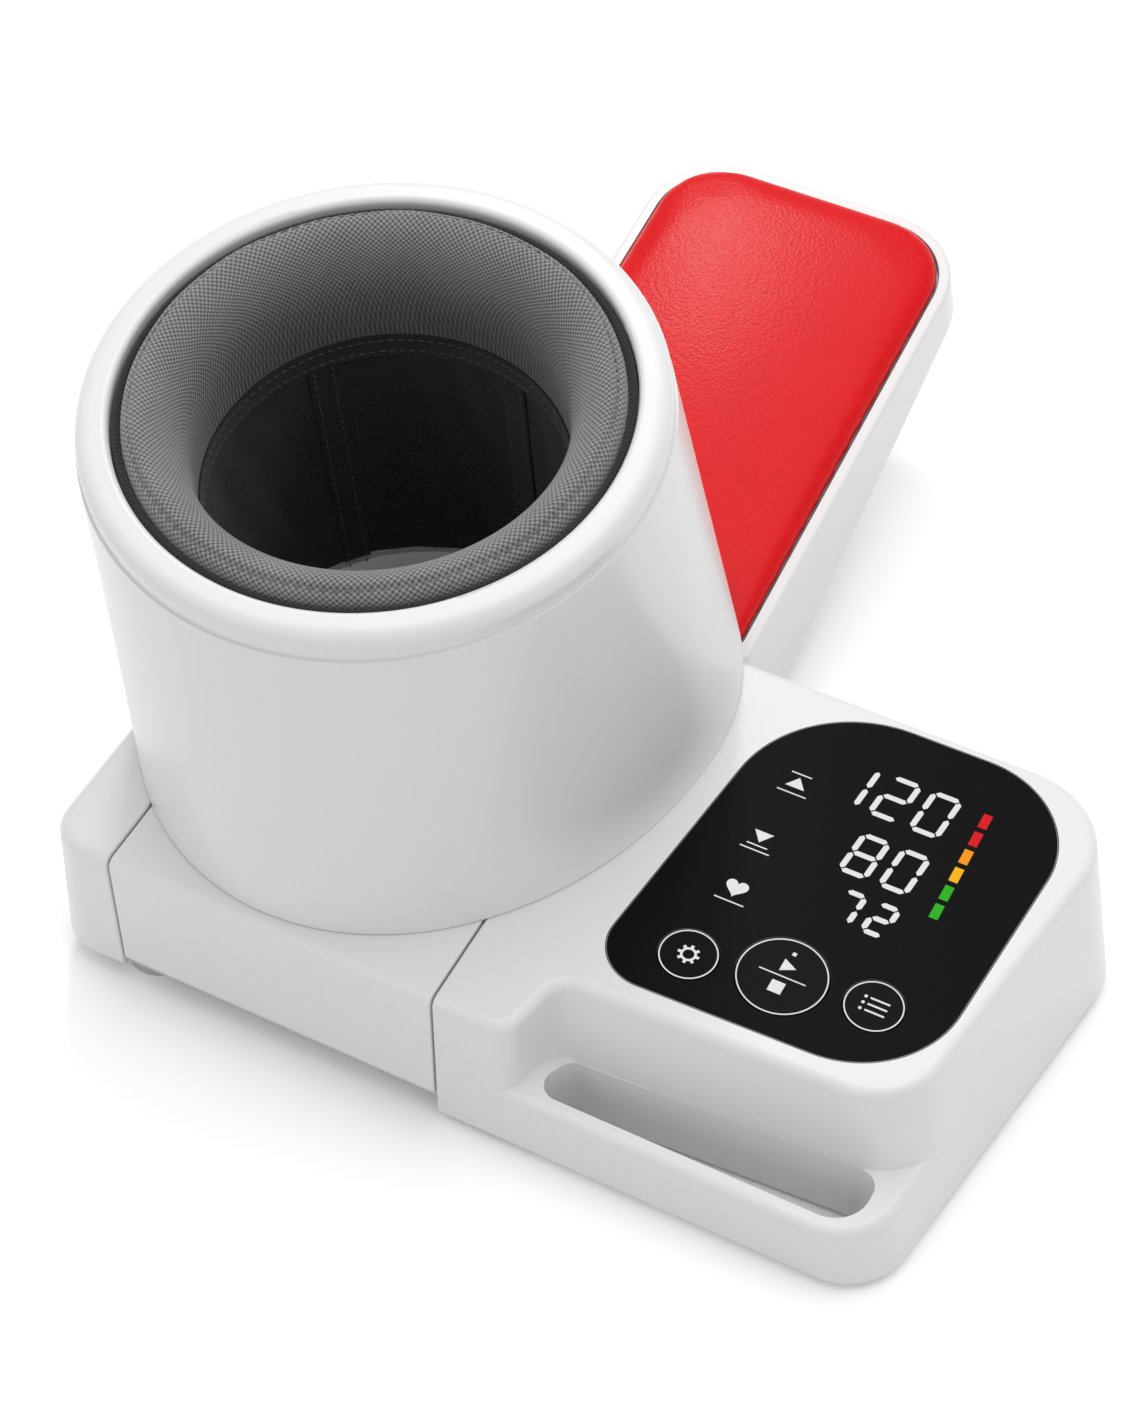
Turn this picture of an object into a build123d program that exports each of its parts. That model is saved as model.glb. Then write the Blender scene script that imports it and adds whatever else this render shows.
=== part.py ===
# Upper arm blood pressure monitor of the arm-in kind: a low base in three parts, a padded arm cylinder
# on a hinged carriage, a display console with a carrying handle, and a padded elbow rest behind.
# Millimetres. +Z is up, +X to the user's right, +Y away from the user.
# The origin is on the table, below the middle of the whole monitor.

import os
from math import cos, radians, sin, tan

from build123d import *

# Driving dimensions of the base

front = -188.5
seam_right = -7.0
carriage_width = 115.2
seam_gap = 0.8
base_depth = 169.5
base_top = 63.0
wall = 2.5
edge_round = 3.5
bottom_round = 2.5
seam_round = 0.8
clearance = 0.3
seam_overlap = 12.0

seam_left = seam_right - carriage_width - 2 * seam_gap
back = front + base_depth
pan_inset = 4.0
post_height = 20.0

# Left end housing

left_width_top = 23.5
left_width_bottom = 27.0
left_bottom = 7.0
left_corner = 14.0
left_back_corner = 8.0
inlet_place = (seam_left - 10.5, 26.0)
inlet_nose_radius = 5.0
inlet_body = (9.0, 13.0, 11.0)
inlet_socket_radius = 3.1
inlet_socket_depth = 9.0
inlet_pin_radius = 0.9
inlet_pin_setback = 2.0

# Base pan, feet and screws

pan_bottom = 4.6
pan_thickness = 2.4
pan_top = pan_bottom + pan_thickness
foot_radius = 11.0
screw_radius = 1.5
screw_head = 3.0
screw_head_height = 1.6
screw_grip = 14.0
foot_round = 0.8
foot_places = ((-113.0, 15.5), (-113.0, 151.0), (128.0, 42.0), (146.0, 138.0))
boss_radius = 4.0
console_post_places = ((5.0, 34.0), (5.0, 140.0), (148.0, 50.0), (158.0, 118.0))
end_post_inset = 5.0
end_post_depths = (34.0, 126.0)
stand_radius = 3.0
stand_height = 7.0
stand_inset = 5.0

# Console housing, with its right wall leaning out towards the table

console_bottom = 2.0
console_top_front = 138.6
console_bottom_front = 150.5
console_widening = 0.148
console_back_corner = 30.0
console_front_corner = 25.0
handle_top = 30.0
handle_corner = 22.0
handle_bar = 5.2
handle_round = 3.0
tower_width = 25.5
tower_corner = 8.0
recess_start = 30.5
recess_top_left = 25.5
recess_top_right = 29.5
recess_bottom_left = 16.0
recess_bottom_right = 23.0
slot_end = 139.5
slot_start = 29.5
slot_small_corner = 6.0
slot_large_corner = 12.0

# Display lens, keys and display

lens_thickness = 2.0
lens_ledge = 2.0
lens_ledge_width = 4.0
lens_front_left = (34.0, 33.2)
lens_front_right = (141.5, 36.5)
lens_back_right = (151.5, 165.3)
lens_back_left = (48.5, 164.8)
lens_corner_radii = (16.0, 36.0, 34.0, 44.0)
key_places = ((61.4, 51.6), (90.3, 57.2), (119.5, 59.8))
key_radii = (9.6, 14.6, 9.6)
key_flange = 0.9
key_travel = 0.6
key_flange_height = 1.0
key_stem_radius = 2.5
key_stem_length = 1.5
key_round = 0.3
key_bottom = base_top - 3.2
lens_round = 0.4
digit_slant = 5.0
frame_margin = 2.0
board_gap = 5.0
board_thickness = 1.6
board_inset = 2.5
board_post_radius = 2.5
display_post_places = ((41.0, 80.0), (146.0, 110.0), (95.0, 37.0), (100.0, 163.0))
module_centre = (102.0, 116.0)
module_size = (52.0, 68.0)
beeper_place = (62.0, 104.0)
beeper_radius = 6.0
beeper_height = 4.0
switch_width = 6.0
switch_height = 3.0
switch_button_radius = 1.75
switch_button_height = 0.6
key_names = ("set_key", "start_stop_key", "memory_key")
inlay = 0.4
digit_stroke = 1.9
digit_gap = 0.35
digit_rows = (
    ("120", 128.6, 18.4, 10.6, 14.0),
    ("80", 103.4, 17.6, 10.2, 13.6),
    ("72", 84.6, 13.6, 8.2, 11.2),
)
digits_right = 113.0
bar_left = 121.0
bar_width = 3.0
bar_height = 6.0
bar_pitch = 8.0
bar_first = 98.5
bar_pairs = ("green_level_bars", "amber_level_bars", "red_level_bars")

# Main board, which lies in front of the batteries, and what is on it

main_board_left = 19.0
main_board_width = 102.0
main_board_depth = 68.0
main_board_room = 16.2
chip_places = ((41.0, 29.0), (67.0, 15.0), (79.0, 35.0))
chip_sizes = ((14.0, 14.0, 1.6), (8.0, 6.0, 1.6), (12.0, 10.0, 8.0))
sensor_place = (17.0, 17.0)
sensor_width = 9.0
sensor_height = 5.0
sensor_port_radius = 1.6
sensor_port_height = 4.0
cable_place = (51.0, 9.0)
cable_width = 16.0
cable_thickness = 0.8

# Air pump and valve

pump_left = 14.0
pump_gap = 2.0
pump_axis_level = 21.0
pump_length = 30.0
pump_width = 26.0
pump_height = 24.0
motor_radius = 12.0
motor_length = 32.0
cushion_inset = 2.0
pump_port_across = 20.0
pump_port_level = 24.0
valve_port_across = 30.0
valve_hose_crest = (62.0, 44.0)
valve_across = 94.0
valve_radius = 8.0
valve_height = 18.0

# Drum: an upright cylinder that leans forward and widens into an egg-shaped foot

lean = 7.3
rim_centre = (seam_right - 66.4, front + 94.5, 205.6)
rim_outer = 88.0
rim_inner = 77.7
rim_height = 10.0
rim_round = 5.0
rim_inner_round = 2.0
drum_wall = 3.0
shell_top_radius = 88.8
foot_gap = 0.4
foot_centre = (seam_right - 62.4, front + 129.3)
foot_half_width = 96.9
foot_front = 123.8
foot_rear = 92.0
shelf_depth = 13.5
shelf_thickness = 2.5
tube_inner = 65.5
tube_wall = 2.5
throat = 57.0
lining_thickness = 3.0
bolster_outer = 74.5
bolster_depth = 38.0
bolster_shoulder = -5.0
bolster_crown = (70.0, 2.0)
bolster_throat = -20.0
piping_radius = 1.3
piping_gap = 0.1
piping_level = -4.0
floor_draft = 0.6
drum_reach = 180.0
damper_radius = 7.0
damper_length = 9.0
drum_floor_thickness = 2.5
hose_radius = 1.8
nozzle_length = 4.0
washer_thickness = 0.5
washer_radius = 7.5

# Batteries

box_wall = 1.5
box_depth = 21.5
cell_radius = 7.25
cell_length = 50.5
cell_nub = 1.0
cell_nub_radius = 2.7
contact_radius = 3.0
contact_plate = 0.5
contact_plate_width = 12.0
contact_gap = 5.5
door_across = 75.0
door_level = 28.5
door_height = 40.0
door_lip = 2.0
door_rebate = 1.2
door_seat = 0.1
thumb_width = 24.0
thumb_height = 9.0
thumb_rise = 12.0
thumb_depth = 0.6

# Carriage and its hinge

carriage_bottom = 11.5
carriage_setback = 3.5
carriage_hole = 50.0
pin_back = 14.0
pin_height = 39.0
pin_radius = 4.0
pin_fit = 0.05
press_gap = 0.02
pin_boss = 8.0
pin_boss_depth = 6.0
air_hole = 1.5
mount_circle = 61.0
mount_count = 4
mount_turn = 45.0
hose_circle = 62.5
hose_turn = 60.0

# Arm rest

rest_left = -99.0
rest_right = 21.5
rest_gap = 8.5
rest_length = 202.0
rest_slope = 10.7
rest_level = 48.0
rest_underside_slope = 19.9
rest_underside_gap = 14.1
rest_corner = 30.0
rest_draft = 3.0
rest_floor = 2.5
rest_rim = 4.2
rest_pocket = 5.0
rest_deck = 2.5
pad_gap = 0.6
pad_crown = 4.5
pad_round = 4.5
pad_board_thickness = 2.0
rest_root_corner = 6.5
rest_round = 1.6
rest_drop = 50.0
cover_thickness = 2.5
rest_post_places = ((-48.0, 30.0), (48.0, 30.0), (-40.0, 150.0), (40.0, 150.0))
rest_screw_grip = 5.0
bumper_radius = 6.0
bumper_height = 1.8
bumper_across = 38.0
bumper_inset = 18.0
notch_top = 26.0
cheek_radius = 7.0
cheek_shift = 1.5
cheek_rise = 20.0
bracket_thickness = 3.5
bracket_reach = 29.5
bracket_screw_inset = 8.0
bracket_screw_depth = 10.0
rest_pin_gap = 16.5
rest_pin_height = 16.0
rest_pin_radius = 3.0
knuckle_radius = 8.0
knuckle_left = -70.0
knuckle_right = -6.0
knuckle_gap = 0.4
cheek = 8.0

# Sizes that follow from these

carriage_depth = base_depth - carriage_setback
rest_start = base_depth + rest_gap
rest_underside_start = base_depth + rest_underside_gap
rest_pin_back = base_depth + rest_pin_gap
bracket_start = base_depth - bracket_reach
door_width = 2 * (cell_length + contact_gap + door_lip)
box_front = back - wall - clearance - box_depth
main_board_front = box_front - front - main_board_room - main_board_depth
pump_axis_depth = main_board_front - pump_gap - pump_width / 2

os.makedirs("parts", exist_ok=True)


def at(across, depth):
    """A place in plan, measured from the seam beside the console and from the front face."""
    return (seam_right + across, front + depth)


def finish(builder, name):
    """Label a finished piece and write its file."""
    builder.part.label = name
    export_step(builder.part, f"parts/{name}.step")


def loop(corners, radii, level, inset=0.0):
    """A level face inside a closed outline with rounded corners."""
    with BuildSketch(Plane.XY.offset(level)) as outline:
        with BuildLine():
            FilletPolyline(*corners, radius=radii, close=True)
        make_face()
        if inset:
            offset(amount=-inset, kind=Kind.INTERSECTION)
    return outline.sketch


# Console housing


def share_of_height(level):
    return (level - console_bottom) / (base_top - console_bottom)


def right_wall(level, depth):
    """How far the leaning right wall stands from the seam."""
    start = console_bottom_front + (console_top_front - console_bottom_front) * share_of_height(level)
    return start + console_widening * depth


def recess_line(level):
    """Depth of the wall above the handle at its left and right ends."""
    share = share_of_height(level)
    left = recess_bottom_left + (recess_top_left - recess_bottom_left) * share
    right = recess_bottom_right + (recess_top_right - recess_bottom_right) * share
    return left, right


def console_outline(level, inset=0.0, seam_side=-seam_overlap):
    left, right = recess_line(level)
    corners = (
        at(seam_side, 0),
        at(tower_width, 0),
        at(recess_start, left),
        at(right_wall(level, right), right),
        at(right_wall(level, base_depth), base_depth),
        at(seam_side, base_depth),
    )
    radii = (0, tower_corner, tower_corner, console_front_corner, console_back_corner, 0)
    return loop(corners, radii, level, inset)


def handle_outline(level):
    """The handle's slab reaches back under the console to where its corner has run out."""
    reach = base_depth / 2
    corners = (
        at(tower_width - tower_corner, 0),
        at(right_wall(level, 0), 0),
        at(right_wall(level, reach), reach),
        at(tower_width - tower_corner, reach),
    )
    return loop(corners, (0, handle_corner, 0, 0), level)


def slot_outline(level, spread=0.0):
    left, right = recess_line(handle_top)
    corners = (
        at(slot_start, handle_bar),
        at(slot_end, handle_bar),
        at(slot_end, right),
        at(slot_start + (left - handle_bar) / 2, left),
    )
    radii = (slot_small_corner, slot_large_corner, slot_small_corner, slot_small_corner)
    return loop(corners, radii, level, -spread)


lens_corners = (
    at(*lens_front_left),
    at(*lens_front_right),
    at(*lens_back_right),
    at(*lens_back_left),
)
key_centres = tuple(at(*place) for place in key_places)
lens_bottom = base_top - lens_thickness
frame_bottom = lens_bottom - lens_ledge
pin_place = (front + pin_back, pin_height)

board_top = frame_bottom - board_gap
board_posts = tuple(at(*place) for place in display_post_places)
console_posts = tuple(at(*place) for place in console_post_places)
end_posts = tuple((seam_left - end_post_inset, front + depth) for depth in end_post_depths)
door_centre = (seam_right + door_across, door_level)

with BuildPart() as console_cavity:
    add(console_outline(console_bottom, wall, seam_side=0.0))
    add(console_outline(base_top - wall, wall, seam_side=0.0))
    loft()

with BuildPart() as handle_slab:
    add(handle_outline(console_bottom))
    add(handle_outline(handle_top))
    loft()
    handle_edges = faces().sort_by(Axis.Z)[-1].edges().sort_by(Axis.Y)[:-1].sort_by(Axis.X)[1:]
    fillet(handle_edges, handle_round)

with BuildPart() as console_housing:
    add(console_outline(console_bottom))
    add(console_outline(base_top))
    loft()
    fillet(faces().sort_by(Axis.Z)[-1].edges(), edge_round)
    add(handle_slab.part)
    fillet(faces().sort_by(Axis.Z)[0].edges(), bottom_round)
    split(bisect_by=Plane.YZ.offset(seam_right), keep=Keep.TOP)
    fillet(faces().sort_by(Axis.X)[0].edges(), seam_round)
    add(console_cavity.part, mode=Mode.SUBTRACT)
    # Finger slot behind the handle bar, with a wall round it where it passes through the housing
    add(slot_outline(console_bottom, wall))
    extrude(amount=handle_top - console_bottom)
    add(slot_outline(console_bottom))
    extrude(amount=handle_top - console_bottom, mode=Mode.SUBTRACT)
    # Ledge, pocket and window for the lens
    add(loop(lens_corners, lens_corner_radii, frame_bottom, -frame_margin))
    extrude(amount=lens_ledge)
    add(loop(lens_corners, lens_corner_radii, lens_bottom, -clearance))
    extrude(amount=lens_thickness, mode=Mode.SUBTRACT)
    add(loop(lens_corners, lens_corner_radii, frame_bottom, lens_ledge_width))
    extrude(amount=lens_thickness + lens_ledge, mode=Mode.SUBTRACT)
    # Posts for the display board hang from the ledge
    with BuildSketch(Plane.XY.offset(board_top)):
        with Locations(*board_posts):
            Circle(board_post_radius)
    extrude(amount=frame_bottom - board_top)
    # Boss and bore for the drum's pin
    with BuildSketch(Plane.YZ.offset(seam_right + wall)):
        with Locations(pin_place):
            Circle(pin_boss)
    extrude(amount=pin_boss_depth)
    with BuildSketch(Plane.YZ.offset(seam_right)):
        with Locations(pin_place):
            Circle(pin_radius + press_gap)
    extrude(amount=wall + pin_boss_depth, mode=Mode.SUBTRACT)
    # The pan passes below the wall beside the carriage
    with BuildSketch(Plane.XY):
        with Locations((seam_right + wall / 2, front + base_depth / 2)):
            Rectangle(2 * wall, base_depth - 2 * pan_inset)
    extrude(amount=pan_top + clearance, mode=Mode.SUBTRACT)
    # Screw posts stand on the pan and lean on the walls
    with BuildSketch(Plane.XY.offset(pan_top)):
        with Locations(*console_posts):
            Circle(boss_radius)
    extrude(amount=post_height)
    with BuildSketch(Plane.XY.offset(pan_top)):
        with Locations(*console_posts):
            Circle(screw_radius + press_gap)
    extrude(amount=post_height, mode=Mode.SUBTRACT)
    # Battery opening with a rebate for its door
    with BuildSketch(Plane.XZ.offset(-back)):
        with Locations(door_centre):
            Rectangle(door_width + 2 * clearance, door_height + 2 * clearance)
    extrude(amount=door_rebate, mode=Mode.SUBTRACT)
    with BuildSketch(Plane.XZ.offset(-back)):
        with Locations(door_centre):
            Rectangle(door_width - 2 * door_lip, door_height - 2 * door_lip)
    extrude(amount=wall, mode=Mode.SUBTRACT)
finish(console_housing, "console_housing")

# Left end housing


def end_profile(inset=0.0):
    """Front view of the end housing, whose outer wall leans out towards the table."""
    with BuildSketch(Plane.XZ.offset(-front - inset)) as profile:
        with BuildLine():
            Polyline(
                (seam_left + seam_overlap * (inset == 0) - inset, left_bottom),
                (seam_left + seam_overlap * (inset == 0) - inset, base_top - inset),
                (seam_left - left_width_top + inset, base_top - inset),
                (seam_left - left_width_bottom + inset, left_bottom),
                close=True,
            )
        make_face()
    return profile.sketch


with BuildPart() as end_cavity:
    extrude(end_profile(wall), amount=base_depth - 2 * wall, dir=(0, 1, 0))
    corner_edges = faces().sort_by(Axis.X)[0].edges().sort_by(Axis.Y)
    fillet(corner_edges[0], left_corner - wall)
    corner_edges = faces().sort_by(Axis.X)[0].edges().sort_by(Axis.Y)
    fillet(corner_edges[-1], left_back_corner - wall)

with BuildPart() as left_housing:
    extrude(end_profile(), amount=base_depth, dir=(0, 1, 0))
    corner_edges = faces().sort_by(Axis.X)[0].edges().sort_by(Axis.Y)
    fillet(corner_edges[0], left_corner)
    corner_edges = faces().sort_by(Axis.X)[0].edges().sort_by(Axis.Y)
    fillet(corner_edges[-1], left_back_corner)
    fillet(faces().sort_by(Axis.Z)[-1].edges(), edge_round)
    fillet(faces().sort_by(Axis.Z)[0].edges(), bottom_round)
    split(bisect_by=Plane.YZ.offset(seam_left), keep=Keep.BOTTOM)
    fillet(faces().sort_by(Axis.X)[-1].edges(), seam_round)
    add(end_cavity.part, mode=Mode.SUBTRACT)
    with BuildSketch(Plane.YZ.offset(seam_left - wall)):
        with Locations(pin_place):
            Circle(pin_boss)
    extrude(amount=-pin_boss_depth)
    with BuildSketch(Plane.YZ.offset(seam_left)):
        with Locations(pin_place):
            Circle(pin_radius + press_gap)
    extrude(amount=-(wall + pin_boss_depth), mode=Mode.SUBTRACT)
    with BuildSketch(Plane.XY.offset(pan_top)):
        with Locations(*end_posts):
            Circle(boss_radius)
    extrude(amount=post_height)
    with BuildSketch(Plane.XY.offset(pan_top)):
        with Locations(*end_posts):
            Circle(screw_radius + press_gap)
    extrude(amount=post_height, mode=Mode.SUBTRACT)
    with BuildSketch(Plane.XZ.offset(-back)):
        with Locations(inlet_place):
            Circle(inlet_nose_radius + clearance)
    extrude(amount=wall, mode=Mode.SUBTRACT)
    with BuildSketch(Plane.XY):
        with Locations((seam_left - wall / 2, front + base_depth / 2)):
            Rectangle(2 * wall, base_depth - 2 * pan_inset)
    extrude(amount=pan_top + clearance, mode=Mode.SUBTRACT)
finish(left_housing, "left_housing")

# Base pan with its feet and screws

carriage_left = seam_left + seam_gap
carriage_right = seam_right - seam_gap
strip_width = seam_right - seam_left + 3 * wall
bracket_screws = (
    at(knuckle_left + bracket_screw_inset, bracket_start + bracket_screw_depth),
    at(knuckle_right - bracket_screw_inset, bracket_start + bracket_screw_depth),
)
board_stands = tuple(
    at(main_board_left + across, main_board_front + depth)
    for across in (stand_inset, main_board_width - stand_inset)
    for depth in (stand_inset, main_board_depth - stand_inset)
)
pan_screws = console_posts + end_posts

with BuildPart() as base_pan:
    add(console_outline(pan_top, wall + clearance, seam_side=0.0))
    extrude(amount=-pan_thickness)
    with BuildSketch(Plane.XY.offset(pan_bottom)):
        with Locations(((seam_left + seam_right) / 2, front + base_depth / 2)):
            Rectangle(strip_width, base_depth - 2 * (pan_inset + clearance))
        with Locations((seam_left - left_width_top / 2, front + base_depth / 2)):
            RectangleRounded(
                left_width_top - wall - 2 * clearance,
                base_depth - 2 * (wall + clearance),
                left_back_corner,
            )
    extrude(amount=pan_thickness)
    # Room for the wall of the finger slot
    add(slot_outline(pan_bottom, wall + clearance))
    extrude(amount=pan_thickness, mode=Mode.SUBTRACT)
    with BuildSketch(Plane.XY.offset(pan_bottom)):
        with Locations(*pan_screws, *bracket_screws):
            Circle(screw_radius + clearance)
    extrude(amount=pan_thickness, mode=Mode.SUBTRACT)
    with BuildSketch(Plane.XY.offset(pan_top)):
        with Locations(*board_stands):
            Circle(stand_radius)
    extrude(amount=stand_height)
finish(base_pan, "base_pan")

with BuildPart() as rubber_feet:
    with BuildSketch():
        with Locations(*(at(*place) for place in foot_places)):
            Circle(foot_radius)
    extrude(amount=pan_bottom)
    fillet(edges().group_by(Axis.Z)[0], foot_round)
finish(rubber_feet, "rubber_feet")


def screws(places, under_head, head_height, length):
    """Upright screws whose heads sit below the sheet that they hold."""
    with BuildPart() as group:
        with BuildSketch(Plane.XY.offset(under_head - head_height)):
            with Locations(*places):
                Circle(screw_head)
        extrude(amount=head_height)
        with BuildSketch(Plane.XY.offset(under_head)):
            with Locations(*places):
                Circle(screw_radius)
        extrude(amount=length)
    return group


base_screws = screws(pan_screws, pan_bottom, screw_head_height, pan_thickness + screw_grip)
finish(base_screws, "base_screws")

# Carriage, which carries the drum and tilts forward with it

bore_slope = tan(radians(lean))
bore_centre = (rim_centre[0], rim_centre[1] + (rim_centre[2] - base_top) * bore_slope)
hose_place = (
    bore_centre[0] + hose_circle * cos(radians(hose_turn)),
    bore_centre[1] - hose_circle * sin(radians(hose_turn)),
)

with BuildPart() as carriage:
    with BuildSketch(Plane.YZ.offset(carriage_left)) as side_view:
        with BuildLine():
            FilletPolyline(
                (front, carriage_bottom),
                (front, base_top),
                (front + carriage_depth, base_top),
                (front + carriage_depth, carriage_bottom),
                radius=(bottom_round, edge_round, 0, 0),
                close=True,
            )
        make_face()
    extrude(amount=carriage_right - carriage_left)
    fillet(faces().sort_by(Axis.X)[0].edges(), seam_round)
    fillet(faces().sort_by(Axis.X)[-1].edges(), seam_round)
    # Hollow, open below and behind, so that the arm passes through
    with BuildSketch(Plane.YZ.offset(carriage_left + wall)):
        with BuildLine():
            Polyline(
                (front + wall, carriage_bottom),
                (front + wall, base_top - wall),
                (front + carriage_depth, base_top - wall),
                (front + carriage_depth, carriage_bottom),
                close=True,
            )
        make_face()
    extrude(amount=carriage_right - carriage_left - 2 * wall, mode=Mode.SUBTRACT)
    with BuildSketch(Plane.XY.offset(base_top)):
        with Locations(bore_centre):
            Circle(carriage_hole)
    extrude(amount=-wall, mode=Mode.SUBTRACT)
    # Bosses for the two hinge pins
    with BuildSketch(Plane.YZ.offset(carriage_left + wall)):
        with Locations(pin_place):
            Circle(pin_boss)
    extrude(amount=pin_boss_depth)
    with BuildSketch(Plane.YZ.offset(carriage_right - wall)):
        with Locations(pin_place):
            Circle(pin_boss)
    extrude(amount=-pin_boss_depth)
    with BuildSketch(Plane.YZ.offset(carriage_left)):
        with Locations(pin_place):
            Circle(pin_radius + pin_fit)
    extrude(amount=carriage_right - carriage_left, mode=Mode.SUBTRACT)
    # Pads and screw holes below the drum
    with BuildSketch(Plane.XY.offset(base_top)):
        with Locations(bore_centre):
            with PolarLocations(mount_circle, mount_count, start_angle=mount_turn):
                Circle(boss_radius)
    extrude(amount=foot_gap)
    with BuildSketch(Plane.XY.offset(base_top + foot_gap)):
        with Locations(bore_centre):
            with PolarLocations(mount_circle, mount_count, start_angle=mount_turn):
                Circle(screw_radius + clearance)
    extrude(amount=-(foot_gap + wall), mode=Mode.SUBTRACT)
    with BuildSketch(Plane.XY.offset(base_top)):
        with Locations(hose_place):
            Circle(hose_radius + clearance)
    extrude(amount=-wall, mode=Mode.SUBTRACT)
finish(carriage, "drum_carriage")

# Hinge pins of the carriage; air for the cuff runs through the right one

pin_length = 2 * (wall + pin_boss_depth) + seam_gap

with BuildPart() as left_pin:
    with BuildSketch(Plane.YZ.offset(seam_left - wall - pin_boss_depth)):
        with Locations(pin_place):
            Circle(pin_radius)
    extrude(amount=pin_length)
finish(left_pin, "left_hinge_pin")

with BuildPart() as right_pin:
    with BuildSketch(Plane.YZ.offset(seam_right + wall + pin_boss_depth)):
        with Locations(pin_place):
            Circle(pin_radius)
            Circle(air_hole, mode=Mode.SUBTRACT)
    extrude(amount=-pin_length)
finish(right_pin, "right_hinge_pin")

with BuildPart() as tilt_damper:
    with BuildSketch(Plane.YZ.offset(seam_left - wall - pin_boss_depth)):
        with Locations(pin_place):
            Circle(damper_radius)
    extrude(amount=-damper_length)
finish(tilt_damper, "tilt_damper")

# Drum

lean_back = sin(radians(lean))
lean_up = cos(radians(lean))
drum_plane = Plane(origin=rim_centre, x_dir=(1, 0, 0), z_dir=(0, -lean_back, lean_up))
drum_axis = Axis(drum_plane.origin, drum_plane.z_dir)
section_plane = Plane(origin=rim_centre, x_dir=(1, 0, 0), z_dir=(0, -lean_up, -lean_back))
foot_level = base_top + foot_gap
floor_top = foot_level + drum_floor_thickness
cuff_top = -bolster_depth - clearance


def foot_outline(level, inset=0.0):
    """The egg-shaped foot: two half ellipses that share their width."""
    with BuildSketch(Plane.XY.offset(level)) as outline:
        with BuildLine():
            half_width = foot_half_width - inset
            EllipticalCenterArc(foot_centre, half_width, foot_rear - inset, start_angle=0, arc_size=180)
            EllipticalCenterArc(foot_centre, half_width, foot_front - inset, start_angle=180, arc_size=180)
        make_face()
    return outline.sketch


def shell_top(inset=0.0):
    with BuildSketch(drum_plane.offset(-rim_height)) as outline:
        with BuildLine():
            CenterArc((0, 0), shell_top_radius - inset, 0, 180)
            CenterArc((0, 0), shell_top_radius - inset, 180, 180)
        make_face()
    return outline.sketch


with BuildPart() as drum_hollow:
    add(foot_outline(foot_level, drum_wall))
    add(shell_top(drum_wall))
    loft()

with BuildPart() as drum_shell:
    add(foot_outline(foot_level))
    add(shell_top())
    loft()
    add(drum_hollow.part, mode=Mode.SUBTRACT)
finish(drum_shell, "drum_shell")


def ring(outer, inner, low, high):
    """A round ring about the drum's axis, between two levels measured from the top of the rim."""
    with BuildPart() as piece:
        with BuildSketch(drum_plane.offset(low)):
            Circle(outer)
            Circle(inner, mode=Mode.SUBTRACT)
        extrude(amount=high - low)
    return piece.part


skirt_outer = rim_inner + drum_wall
shelf_bottom = -(shelf_depth + shelf_thickness)

with BuildPart() as rim_ring:
    add(ring(rim_outer, rim_inner, -rim_height, 0))
    top_edges = edges().filter_by(GeomType.CIRCLE).sort_by(drum_axis)[-2:].sort_by(SortBy.RADIUS)
    fillet(top_edges[-1], rim_round)
    top_edges = edges().filter_by(GeomType.CIRCLE).sort_by(drum_axis)[-2:].sort_by(SortBy.RADIUS)
    fillet(top_edges[0], rim_inner_round)
    add(ring(skirt_outer, rim_inner, shelf_bottom, -rim_height))
    add(ring(skirt_outer, tube_inner, shelf_bottom, -shelf_depth))
finish(rim_ring, "rim_ring")

with BuildPart() as inner_drum:
    add(ring(tube_inner + tube_wall, tube_inner, -drum_reach, shelf_bottom))
    split(bisect_by=Plane.XY.offset(floor_top), keep=Keep.TOP)
finish(inner_drum, "inner_drum")

with BuildPart() as cuff_bladder:
    add(ring(tube_inner - clearance, throat + lining_thickness + clearance, -drum_reach, cuff_top))
    split(bisect_by=Plane.XY.offset(floor_top + clearance), keep=Keep.TOP)
finish(cuff_bladder, "cuff_bladder")

with BuildPart() as cuff_lining:
    add(ring(throat + lining_thickness, throat, -drum_reach, cuff_top))
    split(bisect_by=Plane.XY.offset(floor_top + clearance), keep=Keep.TOP)
finish(cuff_lining, "cuff_lining")

bolster_foot = -shelf_depth + clearance
bolster_neck = tube_inner - 2 * clearance

with BuildPart() as cuff_bolster:
    with BuildSketch(section_plane):
        with BuildLine():
            Line((bolster_outer, bolster_foot), (bolster_outer, bolster_shoulder))
            EllipticalCenterArc(
                (bolster_crown[0], bolster_shoulder),
                bolster_outer - bolster_crown[0],
                bolster_crown[1] - bolster_shoulder,
                start_angle=0,
                arc_size=90,
            )
            EllipticalCenterArc(
                (bolster_crown[0], bolster_throat),
                bolster_crown[0] - throat,
                bolster_crown[1] - bolster_throat,
                start_angle=90,
                arc_size=90,
            )
            Polyline(
                (throat, bolster_throat),
                (throat, -bolster_depth),
                (bolster_neck, -bolster_depth),
                (bolster_neck, bolster_foot),
                (bolster_outer, bolster_foot),
            )
        make_face()
    revolve(axis=drum_axis)
finish(cuff_bolster, "cuff_bolster")

with BuildPart() as cuff_piping:
    with BuildSketch(section_plane):
        with Locations((bolster_outer + piping_radius + piping_gap, piping_level)):
            Circle(piping_radius)
    revolve(axis=drum_axis)
finish(cuff_piping, "cuff_piping")

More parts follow.
